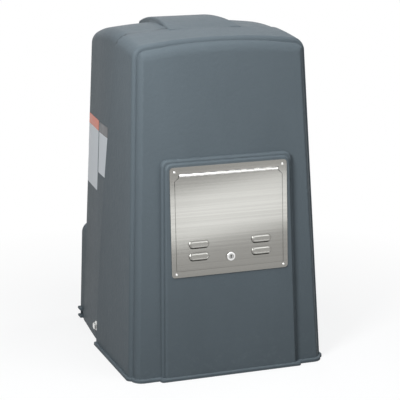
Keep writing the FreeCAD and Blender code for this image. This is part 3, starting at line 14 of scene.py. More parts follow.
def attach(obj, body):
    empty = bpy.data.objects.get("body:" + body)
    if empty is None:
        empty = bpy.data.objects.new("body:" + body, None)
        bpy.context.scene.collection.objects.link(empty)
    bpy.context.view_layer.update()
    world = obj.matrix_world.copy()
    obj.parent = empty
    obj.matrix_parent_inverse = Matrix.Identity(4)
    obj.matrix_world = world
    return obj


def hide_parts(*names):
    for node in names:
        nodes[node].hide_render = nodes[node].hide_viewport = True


bl_info = {
    "name": "Gate operator dressing",
    "version": (1, 0, 0),
    "blender": (4, 5, 0),
    "location": "View3D > Sidebar > Gate operator",
    "description": "Finishes and small pieces of a sliding gate operator, and its studio",
    "category": "Object",
}

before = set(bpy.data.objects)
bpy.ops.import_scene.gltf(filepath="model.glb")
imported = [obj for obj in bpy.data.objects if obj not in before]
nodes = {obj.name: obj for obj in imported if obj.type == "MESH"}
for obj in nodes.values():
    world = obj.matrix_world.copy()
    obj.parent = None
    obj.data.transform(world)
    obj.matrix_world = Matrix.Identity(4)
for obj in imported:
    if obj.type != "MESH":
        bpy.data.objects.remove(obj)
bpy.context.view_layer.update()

FLAT_ANGLE = math.radians(28)          # faces that meet at more than this stay sharp
COPLANAR = math.radians(0.2)           # faces that meet at less than this become one
WELD = 2e-6                            # points nearer than this are one point
NOISE_LOW, NOISE_HIGH = 0.3, 0.7       # a noise pattern mostly lies between these

LOUVER_SKIN = 0.0002                   # a point this far off the door's face is on a louver
LOUVER_EDGE = 0.001                    # slack at the edge of a louver

# name, from and to along Y, from and to along Z, setting with the colour of its band
STICKERS = (
    ("rear_sticker", (0.093, 0.193), (0.325, 0.477), "warm"),
    ("front_sticker", (0.014, 0.086), (0.367, 0.476), "dark"),
)
STICKER_START = -0.25                  # X from which a sticker is pressed onto the cover
STICKER_SPACING = 0.012                # spacing of the cuts that let it bend
STICKER_GAP = 0.0001                   # air under it

FLOOR_RADIUS = 9.0
FLOOR_DROP = 0.0006                    # the floor lies this far under the part
FLOOR_NEAR, FLOOR_FAR = 0.35, 1.0      # the floor fades to white between these
FLOOR_SHARE = 0.8                      # share of white in the floor at the part
LAMP_TINT = (0.95, 0.98, 1.0)
# name, place, point it looks at, size, turn in degrees, setting with its power
LAMPS = (
    ("front_lamp", (-0.85, -0.95, 1.2), (0.0, 0.0, 0.5), (0.4, 0.8), 0.0, "front"),
    ("top_lamp", (0.1, -0.5, 1.9), (0.0, 0.0, 0.4), (0.8, 0.5), 0.0, "over"),
    ("rear_lamp", (0.15, 1.3, 2.1), (0.0, 0.0, 0.4), (0.9, 0.9), 0.0, "back"),
    ("right_lamp", (1.7, 0.5, 1.3), (0.0, 0.0, 0.4), (0.9, 0.9), 0.0, "back"),
    ("door_strip", (0.14, -0.62, 0.285), (0.0, -0.24, 0.35), (0.34, 0.115), 9.0, "strip"),
    ("small_lamp", (0.25, -0.75, 0.62), (0.0, -0.24, 0.3), (0.4, 0.12), 0.0, "small"),
)
CAMERA_PLACE = (-1.0846, -3.0007, 1.1017)
CAMERA_RIGHT = (0.93886, -0.34431, 0.00057)
CAMERA_UP = (0.08242, 0.22636, 0.97055)
CAMERA_LENS = 138.7
CAMERA_SENSOR = 36.0
CAMERA_NEAREST = 0.05


def colour(name, text, value):
    return FloatVectorProperty(name=name, description=text, default=value, size=3,
                               min=0.0, max=1.0, subtype="COLOR")


def length(name, text, value):
    return FloatProperty(name=name, description=text, default=value, min=0.0,
                         unit="LENGTH", subtype="DISTANCE")


def power(name, text, value):
    return FloatProperty(name=name, description=text, default=value, min=0.0, unit="POWER")


def share(name, text, value):
    return FloatProperty(name=name, description=text, default=value, min=0.0, max=1.0,
                         subtype="FACTOR")


# ---------------------------------------------------------------- sizes and colours
class CoverFinish(bpy.types.PropertyGroup):
    plastic: colour("Plastic", "Moulded cover", (0.116, 0.140, 0.156))
    worn: colour("Scuffed plastic", "Plastic where it is rubbed", (0.20, 0.235, 0.255))
    gloss: share("Roughness", "Roughness of the moulded skin", 0.42)
    sheen: share("Specular", "Specular level of the moulded skin", 0.03)
    peel: length("Peel size", "Size of the moulded texture", 0.0022)
    peel_depth: length("Peel depth", "Height of the moulded texture", 0.0002)


class DoorFinish(bpy.types.PropertyGroup):
    # painted shade: both stainless tones are set darker than bare stainless, standing in for the
    # dark surroundings that the sheet reflects
    steel: colour("Stainless", "Brushed stainless sheet", (0.29, 0.284, 0.266))
    steel_dark: colour("Stainless grain", "Darker lines of the grain", (0.26, 0.255, 0.238))
    hinge: colour("Hinge", "Piano hinge and rivets", (0.82, 0.81, 0.79))
    chrome: colour("Chrome", "Cam lock", (0.86, 0.86, 0.85))
    plug: colour("Lock plug", "Plug in the cam lock", (0.45, 0.45, 0.44))
    nut: colour("Lock nut", "Nut behind the cam lock", (0.6, 0.6, 0.57))
    roughness: share("Roughness", "Roughness of the sheet", 0.18)
    lean: FloatProperty(name="Lean", description="Lean of the door in degrees", default=3.56)
    face_y: FloatProperty(name="Face y", description="Middle of the door's face",
                          default=-0.2178, unit="LENGTH")
    face_z: length("Face z", "Height of the middle of the door's face", 0.3225)
    upper_louver: FloatProperty(name="Upper louvers", description="Place below the middle",
                                default=-0.046, unit="LENGTH")
    lower_louver: FloatProperty(name="Lower louvers", description="Place below the middle",
                                default=-0.071, unit="LENGTH")
    louver_width: length("Louver width", "Height of a louver along the sheet", 0.016)
    flush: share("Louver head", "Share of its rise that a louver has at its top", 0.25)


class LabelSizes(bpy.types.PropertyGroup):
    film: length("Film", "Thickness of the stickers", 0.0003)
    corner: length("Corner", "Corner radius of the stickers", 0.003)
    band: length("Band", "Height of the coloured band", 0.022)
    paper: colour("Paper", "Blank part of the stickers", (0.60, 0.64, 0.68))
    warm: colour("Warm band", "Band of the rear sticker", (0.72, 0.13, 0.05))
    dark: colour("Dark band", "Band of the front sticker", (0.05, 0.052, 0.058))


class MachineFinish(bpy.types.PropertyGroup):
    chassis: colour("Chassis", "Powder-coated plates", (0.045, 0.047, 0.05))
    chipped: colour("Chipped coat", "Edges of the plates", (0.22, 0.2, 0.18))
    zinc: colour("Zinc", "Zinc-plated sheet", (0.55, 0.54, 0.48))
    casting: colour("Casting", "Enamelled gearbox", (0.16, 0.19, 0.21))
    motor: colour("Motor", "Enamelled motor ends", (0.03, 0.05, 0.075))
    bolt: colour("Bolts", "Bright bolts and axles", (0.86, 0.86, 0.84))
    stator: colour("Stator", "Laminated motor stack", (0.075, 0.08, 0.085))
    shaft: colour("Shafts", "Turned shafts and sprocket", (0.58, 0.58, 0.57))
    pulley: colour("Pulleys", "Machined iron pulleys", (0.24, 0.24, 0.235))
    belt: colour("Belt", "Rubber belt", (0.02, 0.02, 0.021))
    nylon: colour("Nylon", "Idlers, nuts and stand-offs", (0.72, 0.70, 0.64))
    lever: colour("Lever", "Brake lever and reset button", (0.5, 0.02, 0.015))
    board: colour("Board", "Lacquered control board", (0.012, 0.10, 0.04))
    terminal: colour("Terminals", "Terminal blocks", (0.03, 0.22, 0.09))
    relay: colour("Relays", "Relay cases", (0.02, 0.06, 0.16))
    switch: colour("Switches", "Switches and board parts", (0.016, 0.016, 0.017))
    outlet: colour("Outlet", "Twin outlet", (0.62, 0.58, 0.48))
    core: colour("Transformer", "Transformer core", (0.10, 0.09, 0.08))
    capacitor: colour("Capacitor", "Drawn aluminium can", (0.74, 0.74, 0.74))
    battery: colour("Batteries", "Battery cases", (0.03, 0.03, 0.032))


class StudioSetup(bpy.types.PropertyGroup):
    floor: colour("Floor", "Floor as it is seen", (0.92, 0.92, 0.92))
    bounce: colour("Bounce", "Share of the light that the floor throws back",
                   (0.24, 0.24, 0.24))
    front: power("Front lamp", "Power of the lamp at the front left", 20.5)
    over: power("Top lamp", "Power of the lamp over the crown", 11.0)
    back: power("Back lamps", "Power of each lamp behind and right", 9.0)
    strip: power("Strip lamp", "Power of the strip before the door", 0.21)
    small: power("Small lamp", "Power of the small lamp over the door", 0.45)
    ambient: FloatProperty(name="Even light", description="Strength of the even light",
                           default=0.09, min=0.0)


def settings(name):
    return getattr(bpy.context.scene, name)


def scaled(tint, amount):
    """Colour made darker or lighter, held at 1."""
    return tuple(min(1.0, amount * c) for c in tint)


# ---------------------------------------------------------------- finishes
class Finish:
    """One procedural material, built node by node on object coordinates."""

    def __init__(self, name):
        self.material = bpy.data.materials.new(name)
        self.material.use_nodes = True
        self.tree = self.material.node_tree
        self.shader = self.tree.nodes["Principled BSDF"]
        self.place = self.tree.nodes.new("ShaderNodeTexCoord").outputs["Object"]

    def add(self, kind, **values):
        node = self.tree.nodes.new(kind)
        for name, value in values.items():
            setattr(node, name, value)
        return node

    def join(self, source, target):
        self.tree.links.new(source, target)

    def stretched(self, stretch, turn=(0.0, 0.0, 0.0)):
        """Object coordinates, stretched along each axis and turned."""
        mapping = self.add("ShaderNodeMapping")
        mapping.inputs["Scale"].default_value = stretch
        mapping.inputs["Rotation"].default_value = turn
        self.join(self.place, mapping.inputs["Vector"])
        return mapping.outputs["Vector"]

    def noise(self, size, detail=3.0, stretch=None, contrast=0.5):
        """Cloudy pattern with features of about that size in metres, from 0 to 1."""
        node = self.add("ShaderNodeTexNoise")
        node.inputs["Scale"].default_value = 1.0 / size
        node.inputs["Detail"].default_value = detail
        node.inputs["Roughness"].default_value = contrast
        self.join(self.stretched(stretch) if stretch else self.place, node.inputs["Vector"])
        return node.outputs["Fac"]

    def cells(self, size):
        """Spotty pattern with cells of about that size in metres."""
        node = self.add("ShaderNodeTexVoronoi")
        node.inputs["Scale"].default_value = 1.0 / size
        self.join(self.place, node.inputs["Vector"])
        return node.outputs["Distance"]

    def range(self, value, low, high, start=NOISE_LOW, end=NOISE_HIGH):
        """value from start to end turned into low to high, held at the ends."""
        node = self.add("ShaderNodeMapRange")
        for name, number in (("From Min", start), ("From Max", end),
                             ("To Min", low), ("To Max", high)):
            node.inputs[name].default_value = number
        self.join(value, node.inputs["Value"])
        return node.outputs["Result"]

    def times(self, first, second):
        node = self.add("ShaderNodeMath", operation="MULTIPLY")
        self.join(first, node.inputs[0])
        if isinstance(second, float):
            node.inputs[1].default_value = second
        else:
            self.join(second, node.inputs[1])
        return node.outputs["Value"]

    def blend(self, factor, first, second):
        """Colour from first to second; either is a colour or another socket."""
        node = self.add("ShaderNodeMix", data_type="RGBA")
        self.join(factor, node.inputs["Factor"])
        for socket, value in ((node.inputs["A"], first), (node.inputs["B"], second)):
            socket = [s for s in node.inputs if s.name == socket.name and s.type == "RGBA"][0]
            if isinstance(value, bpy.types.NodeSocket):
                self.join(value, socket)
            else:
                socket.default_value = (*value, 1.0)
        return [s for s in node.outputs if s.type == "RGBA"][0]

    def coordinate(self, axis):
        node = self.add("ShaderNodeSeparateXYZ")
        self.join(self.place, node.inputs["Vector"])
        return node.outputs[axis]

    def edges(self, reach):
        """1 on outer edges within reach, 0 on flat places."""
        bevel = self.add("ShaderNodeBevel", samples=4)
        bevel.inputs["Radius"].default_value = reach
        geometry = self.add("ShaderNodeNewGeometry")
        dot = self.add("ShaderNodeVectorMath", operation="DOT_PRODUCT")
        self.join(bevel.outputs["Normal"], dot.inputs[0])
        self.join(geometry.outputs["Normal"], dot.inputs[1])
        return self.range(dot.outputs["Value"], 1.0, 0.0, 0.90, 0.995)

    def bump(self, *layers):
        """Relief from (height socket, depth in metres) layers, one on another."""
        below = None
        for height, depth in layers:
            node = self.add("ShaderNodeBump")
            node.inputs["Distance"].default_value = depth
            self.join(height, node.inputs["Height"])
            if below is not None:
                self.join(below, node.inputs["Normal"])
            below = node.outputs["Normal"]
        self.join(below, self.shader.inputs["Normal"])

    def set(self, **values):
        """Sets or joins shader sockets, named in lower case with underscores."""
        for name, value in values.items():
            socket = self.shader.inputs[name.replace("_", " ").title().replace("Ior", "IOR")]
            if isinstance(value, bpy.types.NodeSocket):
                self.join(value, socket)
            elif socket.type == "RGBA":
                socket.default_value = (*value, 1.0)
            else:
                socket.default_value = value
        return self.material


def cover_plastic():
    """Satin moulded skin with a fine peel, faint flow marks and a scuffed foot."""
    chosen = settings("gate_cover")
    finish = Finish("moulded_cover_plastic")
    peel = finish.noise(chosen.peel, 2.0)
    pits = finish.cells(chosen.peel * 0.8)
    ripple = finish.noise(chosen.peel * 3.5, 2.0)
    flow = finish.noise(0.11, 3.0, (1.0, 1.0, 0.5))
    cloud = finish.noise(0.016, 4.0)
    scratch = finish.noise(0.012, 6.0, contrast=0.7)
    scuff = finish.times(finish.range(scratch, 0.0, 0.3, 0.52, 0.75),
                         finish.range(finish.coordinate("Z"), 1.0, 0.1, 0.0, 0.1))
    base = finish.blend(finish.range(flow, 0.0, 1.0, 0.35, 0.65),
                        scaled(chosen.plastic, 0.97), scaled(chosen.plastic, 1.03))
    base = finish.blend(scuff, base, chosen.worn)
    rough = finish.range(cloud, chosen.gloss - 0.03, chosen.gloss + 0.03)
    finish.bump((ripple, chosen.peel_depth * 2.5), (peel, chosen.peel_depth),
                (pits, chosen.peel_depth * 0.4))
    return finish.set(base_color=base, roughness=rough, specular_ior_level=chosen.sheen)


def brushed_stainless():
    """Sheet with a fine grain along X and a faint unevenness of its gloss."""
    chosen = settings("gate_door")
    along = (1.5, 1.5, 260.0)
    finish = Finish("brushed_stainless")
    grain = finish.noise(1.0, 2.0, along, 0.6)
    fine = finish.noise(1.0, 3.0, tuple(3.1 * a for a in along), 0.7)
    smear = finish.noise(0.09, 1.0, (1.0, 1.0, 0.6))
    # painted shade: the grain blends two stainless tones that are darker than bare stainless,
    # standing in for dark reflected surroundings
    base = finish.blend(finish.range(grain, 0.0, 1.0), chosen.steel_dark, chosen.steel)
    rough = finish.range(smear, chosen.roughness - 0.012, chosen.roughness + 0.012, 0.2, 0.8)
    finish.bump((fine, 0.000012))
    return finish.set(base_color=base, roughness=rough, metallic=1.0)


def polished(name, tint, rough=0.12):
    """Plated metal with faint smears."""
    finish = Finish(name)
    smear = finish.noise(0.004, 4.0)
    base = finish.blend(finish.range(smear, 0.0, 1.0), scaled(tint, 0.86), tint)
    finish.bump((finish.noise(0.0015, 2.0), 0.00001))
    return finish.set(base_color=base, metallic=1.0,
                      roughness=finish.range(smear, rough * 0.7, rough * 1.4))


def turned_steel(name, tint, rough=0.3):
    """Machined or plated steel with tool marks and slightly dull patches."""
    finish = Finish(name)
    marks = finish.noise(0.0006, 2.0, (1.0, 6.0, 1.0))
    dull = finish.noise(0.012, 5.0, contrast=0.6)
    base = finish.blend(finish.range(dull, 0.0, 1.0, 0.35, 0.7), tint, scaled(tint, 0.62))
    finish.bump((marks, 0.00002))
    return finish.set(base_color=base, metallic=1.0,
                      roughness=finish.range(dull, rough * 0.8, rough * 1.5))


def zinc_plate(name, tint):
    """Zinc-plated sheet with a faint spangle and yellowed passivation."""
    finish = Finish(name)
    spangle = finish.cells(0.006)
    haze = finish.noise(0.03, 4.0)
    warm = (tint[0] * 0.94, tint[1] * 0.88, tint[2] * 0.70)
    base = finish.blend(finish.range(spangle, 0.0, 1.0, 0.2, 0.8), tint, scaled(tint, 0.8))
    base = finish.blend(finish.range(haze, 0.0, 0.7, 0.45, 0.7), base, warm)
    finish.bump((finish.noise(0.0012, 2.0), 0.00002))
    return finish.set(base_color=base, metallic=1.0,
                      roughness=finish.range(haze, 0.3, 0.46))


def coated(name, tint, grain=0.0015, depth=0.00008, rough=0.45, worn=None):
    """Paint or powder coat with a fine texture, dust and edges rubbed to a paler tone."""
    finish = Finish(name)
    cloud = finish.noise(0.025, 4.0)
    specks = finish.noise(0.01, 6.0, contrast=0.7)
    dust = finish.times(finish.range(specks, 0.0, 1.0, 0.45, 0.7), 0.25)
    worn = worn or tuple(min(1.0, 0.12 + 1.5 * c) for c in tint)
    base = finish.blend(finish.range(cloud, 0.0, 1.0), scaled(tint, 0.88), scaled(tint, 1.12))
    base = finish.blend(dust, base, tuple(min(1.0, c * 1.25 + 0.02) for c in tint))
    rubbed = finish.times(finish.edges(0.0012), finish.range(cloud, 0.0, 0.9, 0.45, 0.6))
    base = finish.blend(rubbed, base, worn)
    finish.bump((finish.noise(grain, 2.0), depth))
    return finish.set(base_color=base,
                      roughness=finish.range(cloud, rough - 0.06, rough + 0.08))


def laminated(name, tint):
    """Varnished stack of thin steel sheets along X."""
    finish = Finish(name)
    layers = finish.add("ShaderNodeTexWave", wave_type="BANDS", bands_direction="X")
    layers.inputs["Scale"].default_value = 160.0
    layers.inputs["Distortion"].default_value = 0.4
    finish.join(finish.place, layers.inputs["Vector"])
    lines = layers.outputs["Fac"]
    cloud = finish.noise(0.02, 4.0)
    base = finish.blend(lines, scaled(tint, 0.55), tint)
    base = finish.blend(finish.range(cloud, 0.0, 0.35, 0.4, 0.7), base,
                        (tint[0] * 1.6, tint[1] * 1.1, tint[2] * 0.7))
    finish.bump((lines, 0.00015))
    return finish.set(base_color=base, roughness=0.38, metallic=0.3)


def moulded(name, tint, rough=0.4, grain=0.0009, depth=0.00003):
    """Small moulded plastic part with fine grain and slightly uneven gloss."""
    finish = Finish(name)
    cloud = finish.noise(0.009, 4.0)
    base = finish.blend(finish.range(cloud, 0.0, 1.0), scaled(tint, 0.9), scaled(tint, 1.08))
    finish.bump((finish.noise(grain, 2.0), depth))
    return finish.set(base_color=base,
                      roughness=finish.range(cloud, rough - 0.07, rough + 0.08))


def board_mask(name, tint):
    """Green lacquered board with faint copper tracks under the lacquer."""
    finish = Finish(name)
    tracks = finish.add("ShaderNodeTexBrick", offset=0.5, squash=0.6, squash_frequency=3)
    tracks.inputs["Scale"].default_value = 55.0
    tracks.inputs["Mortar Size"].default_value = 0.03
    turned = finish.stretched((1.0, 1.0, 1.0), (math.pi / 2, 0.0, 0.0))
    finish.join(turned, tracks.inputs["Vector"])
    lines = tracks.outputs["Fac"]
    cloud = finish.noise(0.02, 3.0)
    base = finish.blend(lines, tint, scaled(tint, 1.9))
    base = finish.blend(finish.range(cloud, 0.0, 0.3), base, scaled(tint, 0.6))
    finish.bump((lines, 0.00008))
    return finish.set(base_color=base, roughness=0.24, coat_weight=0.4)


def sticker_film(name, tint):
    """Matt printed film, a little uneven where it lies on the moulded skin."""
    finish = Finish(name)
    cloud = finish.noise(0.02, 4.0)
    base = finish.blend(finish.range(cloud, 0.0, 1.0), scaled(tint, 0.93), tint)
    finish.bump((finish.noise(0.003, 2.0), 0.00004))
    return finish.set(base_color=base, roughness=finish.range(cloud, 0.3, 0.4))


def give(material, *names):
    """Puts a finish on CAD nodes by their objects' own slots."""
    for name in names:
        item = nodes[name]
        if not item.material_slots:
            item.data.materials.append(material)
        for place in item.material_slots:
            place.link = "OBJECT"
            place.material = material


# ---------------------------------------------------------------- mesh tools
def finished(name, mesh, body, slot, *materials):
    """Object at the origin, its place in its mesh, riding on a body."""
    item = bpy.data.objects.new(name, mesh)
    bpy.context.scene.collection.objects.link(item)
    for material in materials:
        mesh.materials.append(material)
    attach(item, body)
    return item


def smooth_copy(name, node, body, slot, material, reshape=None):
    """Welded, smoothly shaded copy that stands for a CAD node."""
    work = bmesh.new()
    work.from_mesh(nodes[node].data)
    bmesh.ops.remove_doubles(work, verts=work.verts, dist=WELD)
    if reshape:
        reshape(work)
    bmesh.ops.dissolve_limit(work, angle_limit=COPLANAR, verts=work.verts, edges=work.edges,
                             use_dissolve_boundaries=False)
    for face in work.faces:
        face.material_index = 0
    mesh = bpy.data.meshes.new(name)
    work.to_mesh(mesh)
    work.free()
    item = finished(name, mesh, body, slot, material)
    for face in mesh.polygons:
        face.use_smooth = True
    mesh.set_sharp_from_angle(angle=FLAT_ANGLE)
    weighted = item.modifiers.new("even shading", "WEIGHTED_NORMAL")
    weighted.keep_sharp = True
    weighted.weight = 100
    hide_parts(node)


# ---------------------------------------------------------------- cover
class DressCover(bpy.types.Operator):
    """Gives the moulded cover its satin, peeled skin"""
    bl_idname = "gate_operator.dress_cover"
    bl_label = "Cover"

    def execute(self, context):
        smooth_copy("cover_shell", "cover_hood", "cover", "hood_plastic", cover_plastic())
        return {"FINISHED"}


class DressDoor(bpy.types.Operator):
    """Gives the access door and its frame brushed stainless steel, and its piano hinge polished
    steel
    """
    bl_idname = "gate_operator.dress_door"
    bl_label = "Access door"

    def execute(self, context):
        steel = brushed_stainless()
        give(steel, "door_frame")
        smooth_copy("door_panel", "door_leaf", "access_door", "stainless_sheet", steel,
                    self.pitch_louvers)
        give(polished("hinge_steel", settings("gate_door").hinge, 0.2),
             "hinge_frame_half", "hinge_door_half", "hinge_pin", "frame_rivets")
        return {"FINISHED"}

    def pitch_louvers(self, work):
        """Slopes each louver from almost flush at its top to its full height at its mouth."""
        chosen = settings("gate_door")
        lean = math.radians(chosen.lean)
        outward = Vector((0.0, -math.cos(lean), math.sin(lean)))
        upward = Vector((0.0, math.sin(lean), math.cos(lean)))
        face = Vector((0.0, chosen.face_y, chosen.face_z))
        for point in work.verts:
            away = point.co - face
            rise = away.dot(outward)
            if rise < LOUVER_SKIN:
                continue
            below = [line + chosen.louver_width / 2 - away.dot(upward)
                     for line in (chosen.upper_louver, chosen.lower_louver)]
            depth = min((d for d in below if d > -LOUVER_EDGE), default=0.0)
            open_share = min(1.0, max(0.0, depth / chosen.louver_width))
            point.co -= outward * rise * (1.0 - chosen.flush - (1.0 - chosen.flush) * open_share)


class DressLock(bpy.types.Operator):
    """Gives the cam lock its chrome face, plug, nut and cam"""
    bl_idname = "gate_operator.dress_lock"
    bl_label = "Cam lock"

    def execute(self, context):
        chosen = settings("gate_door")
        chrome = polished("lock_chrome_plate", chosen.chrome)
        smooth_copy("lock_face", "lock_barrel", "access_door", "lock_chrome", chrome)
        give(polished("lock_plug_plate", chosen.plug, 0.22), "lock_plug")
        give(turned_steel("lock_nut_steel", chosen.nut), "lock_nut")
        give(zinc_plate("cam_zinc", settings("gate_machine").zinc), "lock_cam")
        return {"FINISHED"}


# ---------------------------------------------------------------- stickers
class ApplyLabels(bpy.types.Operator):
    """Lays the two blank stickers on the left side of the cover"""
    bl_idname = "gate_operator.apply_labels"
    bl_label = "Blank stickers"

    def execute(self, context):
        sizes = settings("gate_labels")
        paper = sticker_film("sticker_paper", sizes.paper)
        for name, across, up, band in STICKERS:
            tint = sticker_film(f"sticker_{band}_band", getattr(sizes, band))
            self.sticker(name, across, up, sizes, paper, tint)
        return {"FINISHED"}

    def sticker(self, name, across, up, sizes, *materials):
        """Film with round corners and a coloured head band, pressed onto the cover."""
        work = bmesh.new()
        (left, right), (low, high) = across, up
        corners = [work.verts.new((STICKER_START, y, z)) for y, z in
                   ((left, low), (right, low), (right, high), (left, high))]
        work.faces.new(corners)
        bmesh.ops.bevel(work, geom=list(work.verts), offset=sizes.corner, offset_type="OFFSET",
                        segments=4, profile=0.5, affect="VERTICES", material=-1)
        for axis, (low, high) in ((1, across), (2, up)):
            count = int((high - low) / STICKER_SPACING)
            cuts = [low + STICKER_SPACING * k for k in range(1, count)]
            if axis == 2:
                cuts.append(high - sizes.band)
            normal = Vector((0, axis == 1, axis == 2))
            for cut in cuts:
                bmesh.ops.bisect_plane(work, geom=work.verts[:] + work.edges[:] + work.faces[:],
                                       plane_co=normal * cut, plane_no=normal)
        for face in work.faces:
            face.material_index = int(face.calc_center_median().z > up[1] - sizes.band)
        bmesh.ops.recalc_face_normals(work, faces=work.faces)
        if sum(face.normal.x for face in work.faces) > 0:
            bmesh.ops.reverse_faces(work, faces=work.faces)
        mesh = bpy.data.meshes.new(name)
        work.to_mesh(mesh)
        work.free()
        item = finished(name, mesh, "cover", "hood_plastic", *materials)
        press = item.modifiers.new("pressed on", "SHRINKWRAP")
        press.target = bpy.data.objects["cover_shell"]
        press.wrap_method = "PROJECT"
        press.use_project_x = True
        press.use_positive_direction = True
        press.use_negative_direction = False
        press.offset = STICKER_GAP
        film = item.modifiers.new("film", "SOLIDIFY")
        film.thickness = sizes.film
        film.offset = 1.0
        graph = bpy.context.evaluated_depsgraph_get()
        pressed = bpy.data.meshes.new_from_object(item.evaluated_get(graph))
        item.modifiers.clear()
        item.data = pressed


# ---------------------------------------------------------------- chassis, drive and controls
class DressChassis(bpy.types.Operator):
    """Gives the welded chassis, its brackets and its bolts their coats"""
    bl_idname = "gate_operator.dress_chassis"
    bl_label = "Chassis"

    def execute(self, context):
        chosen = settings("gate_machine")
        give(coated("chassis_powder_coat", chosen.chassis, 0.002, 0.00012, 0.5,
                    chosen.chipped),
             "base_plate", "rear_plate", "left_gusset", "right_gusset", "motor_shelf",
             "motor_cradle")
        give(zinc_plate("zinc_plated_sheet", chosen.zinc),
             "cover_brackets", "limit_bracket", "capacitor_clamp", "control_panel",
             "switch_plate", "battery_trays")
        give(turned_steel("bright_bolt_steel", chosen.bolt, 0.4),
             "cover_bolts", "gearbox_bolts", "idler_axles", "motor_bolts")
        return {"FINISHED"}


class DressDrive(bpy.types.Operator):
    """Gives the gearbox, motor, belt, pulleys and chain guides their finishes"""
    bl_idname = "gate_operator.dress_drive"
    bl_label = "Drive train"

    def execute(self, context):
        chosen = settings("gate_machine")
        give(coated("gearbox_enamel", chosen.casting, 0.003, 0.0004, 0.42), "gearbox")
        give(coated("motor_enamel", chosen.motor, 0.002, 0.0002, 0.36),
             "drive_end_bell", "brake_end_bell", "brake_housing")
        give(laminated("motor_laminations", chosen.stator), "motor_stator")
        give(turned_steel("turned_shaft_steel", chosen.shaft, 0.24),
             "output_shaft", "drive_sprocket", "limit_screw", "worm_shaft", "motor_shaft")
        give(turned_steel("machined_pulley_iron", chosen.pulley, 0.36),
             "worm_pulley", "motor_pulley")
        give(moulded("belt_rubber_skin", chosen.belt, 0.7, 0.0008, 0.0001), "drive_belt")
        give(moulded("natural_nylon", chosen.nylon, 0.42),
             "left_idler", "right_idler", "open_limit_nut", "close_limit_nut")
        give(coated("lever_red_coat", chosen.lever, 0.002, 0.00005, 0.3), "release_lever")
        return {"FINISHED"}


class DressControls(bpy.types.Operator):
    """Gives the control board, switches, outlet, capacitor and batteries their finishes"""
    bl_idname = "gate_operator.dress_controls"
    bl_label = "Controls"

    def execute(self, context):
        chosen = settings("gate_machine")
        give(board_mask("board_solder_mask", chosen.board), "control_board")
        give(moulded("terminal_green", chosen.terminal, 0.38), "terminal_blocks")
        give(moulded("relay_blue", chosen.relay, 0.3), "relays")
        give(moulded("standoff_nylon", chosen.nylon, 0.45), "board_standoffs")
        give(moulded("switch_black", chosen.switch, 0.3),
             "board_parts", "limit_switches", "rocker_frame", "button_guide", "power_rocker")
        give(moulded("button_red", chosen.lever, 0.26), "reset_button")
        give(moulded("outlet_ivory", chosen.outlet, 0.36), "service_outlet")
        give(laminated("transformer_core", chosen.core), "transformer")
        give(turned_steel("drawn_aluminium", chosen.capacitor, 0.34), "run_capacitor")
        give(moulded("battery_black", chosen.battery, 0.5, 0.0014, 0.00006),
             "left_battery", "right_battery")
        return {"FINISHED"}


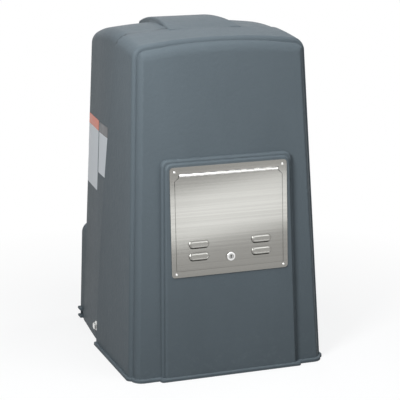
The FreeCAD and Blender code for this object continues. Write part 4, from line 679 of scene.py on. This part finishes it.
# ---------------------------------------------------------------- studio
class BuildStudio(bpy.types.Operator):
    """Sets floor, even light, soft lamps and the camera"""
    bl_idname = "gate_operator.build_studio"
    bl_label = "Studio"

    def execute(self, context):
        chosen = settings("gate_studio")
        self.floor(chosen)
        self.even_light(chosen)
        for name, place, aim, size, roll, setting in LAMPS:
            self.lamp(name, place, aim, size, roll, getattr(chosen, setting))
        self.camera()
        context.scene.view_settings.view_transform = "Standard"
        return {"FINISHED"}

    def floor(self, chosen):
        """Pale paper floor that fades to white away from the piece and keeps its shadow."""
        work = bmesh.new()
        bmesh.ops.create_circle(work, cap_ends=True, segments=96, radius=FLOOR_RADIUS)
        bmesh.ops.translate(work, verts=work.verts, vec=(0, 0, -FLOOR_DROP))
        mesh = bpy.data.meshes.new("studio_floor")
        work.to_mesh(mesh)
        work.free()
        item = bpy.data.objects.new("studio_floor", mesh)
        bpy.context.scene.collection.objects.link(item)
        finish = Finish("studio_floor_paper")
        seen = self.seen(finish.tree)
        finish.set(base_color=finish.blend(seen, chosen.bounce, chosen.floor),
                   roughness=0.9, specular_ior_level=0.0)
        away = finish.add("ShaderNodeVectorMath", operation="LENGTH")
        finish.join(finish.place, away.inputs[0])
        white = finish.add("ShaderNodeEmission")
        mix = finish.add("ShaderNodeMixShader")
        fade = finish.range(away.outputs["Value"], FLOOR_SHARE, 1.0, FLOOR_NEAR, FLOOR_FAR)
        finish.join(finish.times(seen, fade), mix.inputs[0])
        finish.join(finish.shader.outputs[0], mix.inputs[1])
        finish.join(white.outputs[0], mix.inputs[2])
        finish.join(mix.outputs[0], finish.tree.nodes["Material Output"].inputs["Surface"])
        mesh.materials.append(finish.material)

    def seen(self, tree):
        """1 for a ray from the eye, through glass or off a glossy face."""
        paths = tree.nodes.new("ShaderNodeLightPath")
        clear = self.larger(tree, paths.outputs["Is Camera Ray"],
                            paths.outputs["Is Transmission Ray"])
        return self.larger(tree, clear, paths.outputs["Is Glossy Ray"])

    def larger(self, tree, first, second):
        node = tree.nodes.new("ShaderNodeMath")
        node.operation = "MAXIMUM"
        tree.links.new(first, node.inputs[0])
        tree.links.new(second, node.inputs[1])
        return node.outputs["Value"]

    def even_light(self, chosen):
        """World: even light on the object, plain white behind it."""
        world = bpy.data.worlds.new("studio_world")
        bpy.context.scene.world = world
        world.use_nodes = True
        tree = world.node_tree
        tree.nodes.clear()
        soft = tree.nodes.new("ShaderNodeBackground")
        soft.inputs["Strength"].default_value = chosen.ambient
        white = tree.nodes.new("ShaderNodeBackground")
        white.inputs["Color"].default_value = (1.0, 1.0, 1.0, 1.0)
        mix = tree.nodes.new("ShaderNodeMixShader")
        out = tree.nodes.new("ShaderNodeOutputWorld")
        tree.links.new(self.seen(tree), mix.inputs[0])
        tree.links.new(soft.outputs[0], mix.inputs[1])
        tree.links.new(white.outputs[0], mix.inputs[2])
        tree.links.new(mix.outputs[0], out.inputs["Surface"])

    def lamp(self, name, place, aim, size, roll, power):
        """Soft rectangular lamp that looks from place to aim, turned by roll degrees."""
        data = bpy.data.lights.new(name, "AREA")
        data.shape = "RECTANGLE"
        data.color = LAMP_TINT
        data.size, data.size_y = size
        data.energy = power
        item = bpy.data.objects.new(name, data)
        item.visible_camera = False
        bpy.context.scene.collection.objects.link(item)
        direction = Vector(aim) - Vector(place)
        facing = direction.to_track_quat("-Z", "Y").to_matrix().to_4x4()
        item.matrix_world = (Matrix.Translation(place) @ facing
                             @ Matrix.Rotation(math.radians(roll), 4, "Z"))

    def camera(self):
        data = bpy.data.cameras.new("studio_camera")
        data.lens = CAMERA_LENS
        data.sensor_width = CAMERA_SENSOR
        data.clip_start = CAMERA_NEAREST
        item = bpy.data.objects.new("studio_camera", data)
        bpy.context.scene.collection.objects.link(item)
        right, up = Vector(CAMERA_RIGHT), Vector(CAMERA_UP)
        turn = Matrix((right, up, right.cross(up))).transposed().to_4x4()
        item.matrix_world = Matrix.Translation(CAMERA_PLACE) @ turn
        bpy.context.scene.camera = item


# ---------------------------------------------------------------- add-on
GROUPS = (
    ("gate_cover", CoverFinish),
    ("gate_door", DoorFinish),
    ("gate_labels", LabelSizes),
    ("gate_machine", MachineFinish),
    ("gate_studio", StudioSetup),
)
STEPS = (DressCover, DressDoor, DressLock, ApplyLabels, DressChassis, DressDrive,
         DressControls, BuildStudio)


class GateOperatorPanel(bpy.types.Panel):
    """Lists the steps that dress the gate operator"""
    bl_idname = "VIEW3D_PT_gate_operator"
    bl_label = "Gate operator"
    bl_space_type = "VIEW_3D"
    bl_region_type = "UI"
    bl_category = "Gate operator"

    def draw(self, context):
        for step in STEPS:
            self.layout.operator(step.bl_idname)
        for name, group in GROUPS:
            box = self.layout.box()
            for field in group.__annotations__:
                box.prop(getattr(context.scene, name), field)


def register():
    for name, group in GROUPS:
        bpy.utils.register_class(group)
        setattr(bpy.types.Scene, name, PointerProperty(type=group))
    for item in (*STEPS, GateOperatorPanel):
        bpy.utils.register_class(item)


def unregister():
    for item in (GateOperatorPanel, *reversed(STEPS)):
        bpy.utils.unregister_class(item)
    for name, group in reversed(GROUPS):
        delattr(bpy.types.Scene, name)
        bpy.utils.unregister_class(group)


def main():
    register()
    for step in STEPS:
        area, name = step.bl_idname.split(".")
        getattr(getattr(bpy.ops, area), name)()


if __name__ == "__main__":
    main()
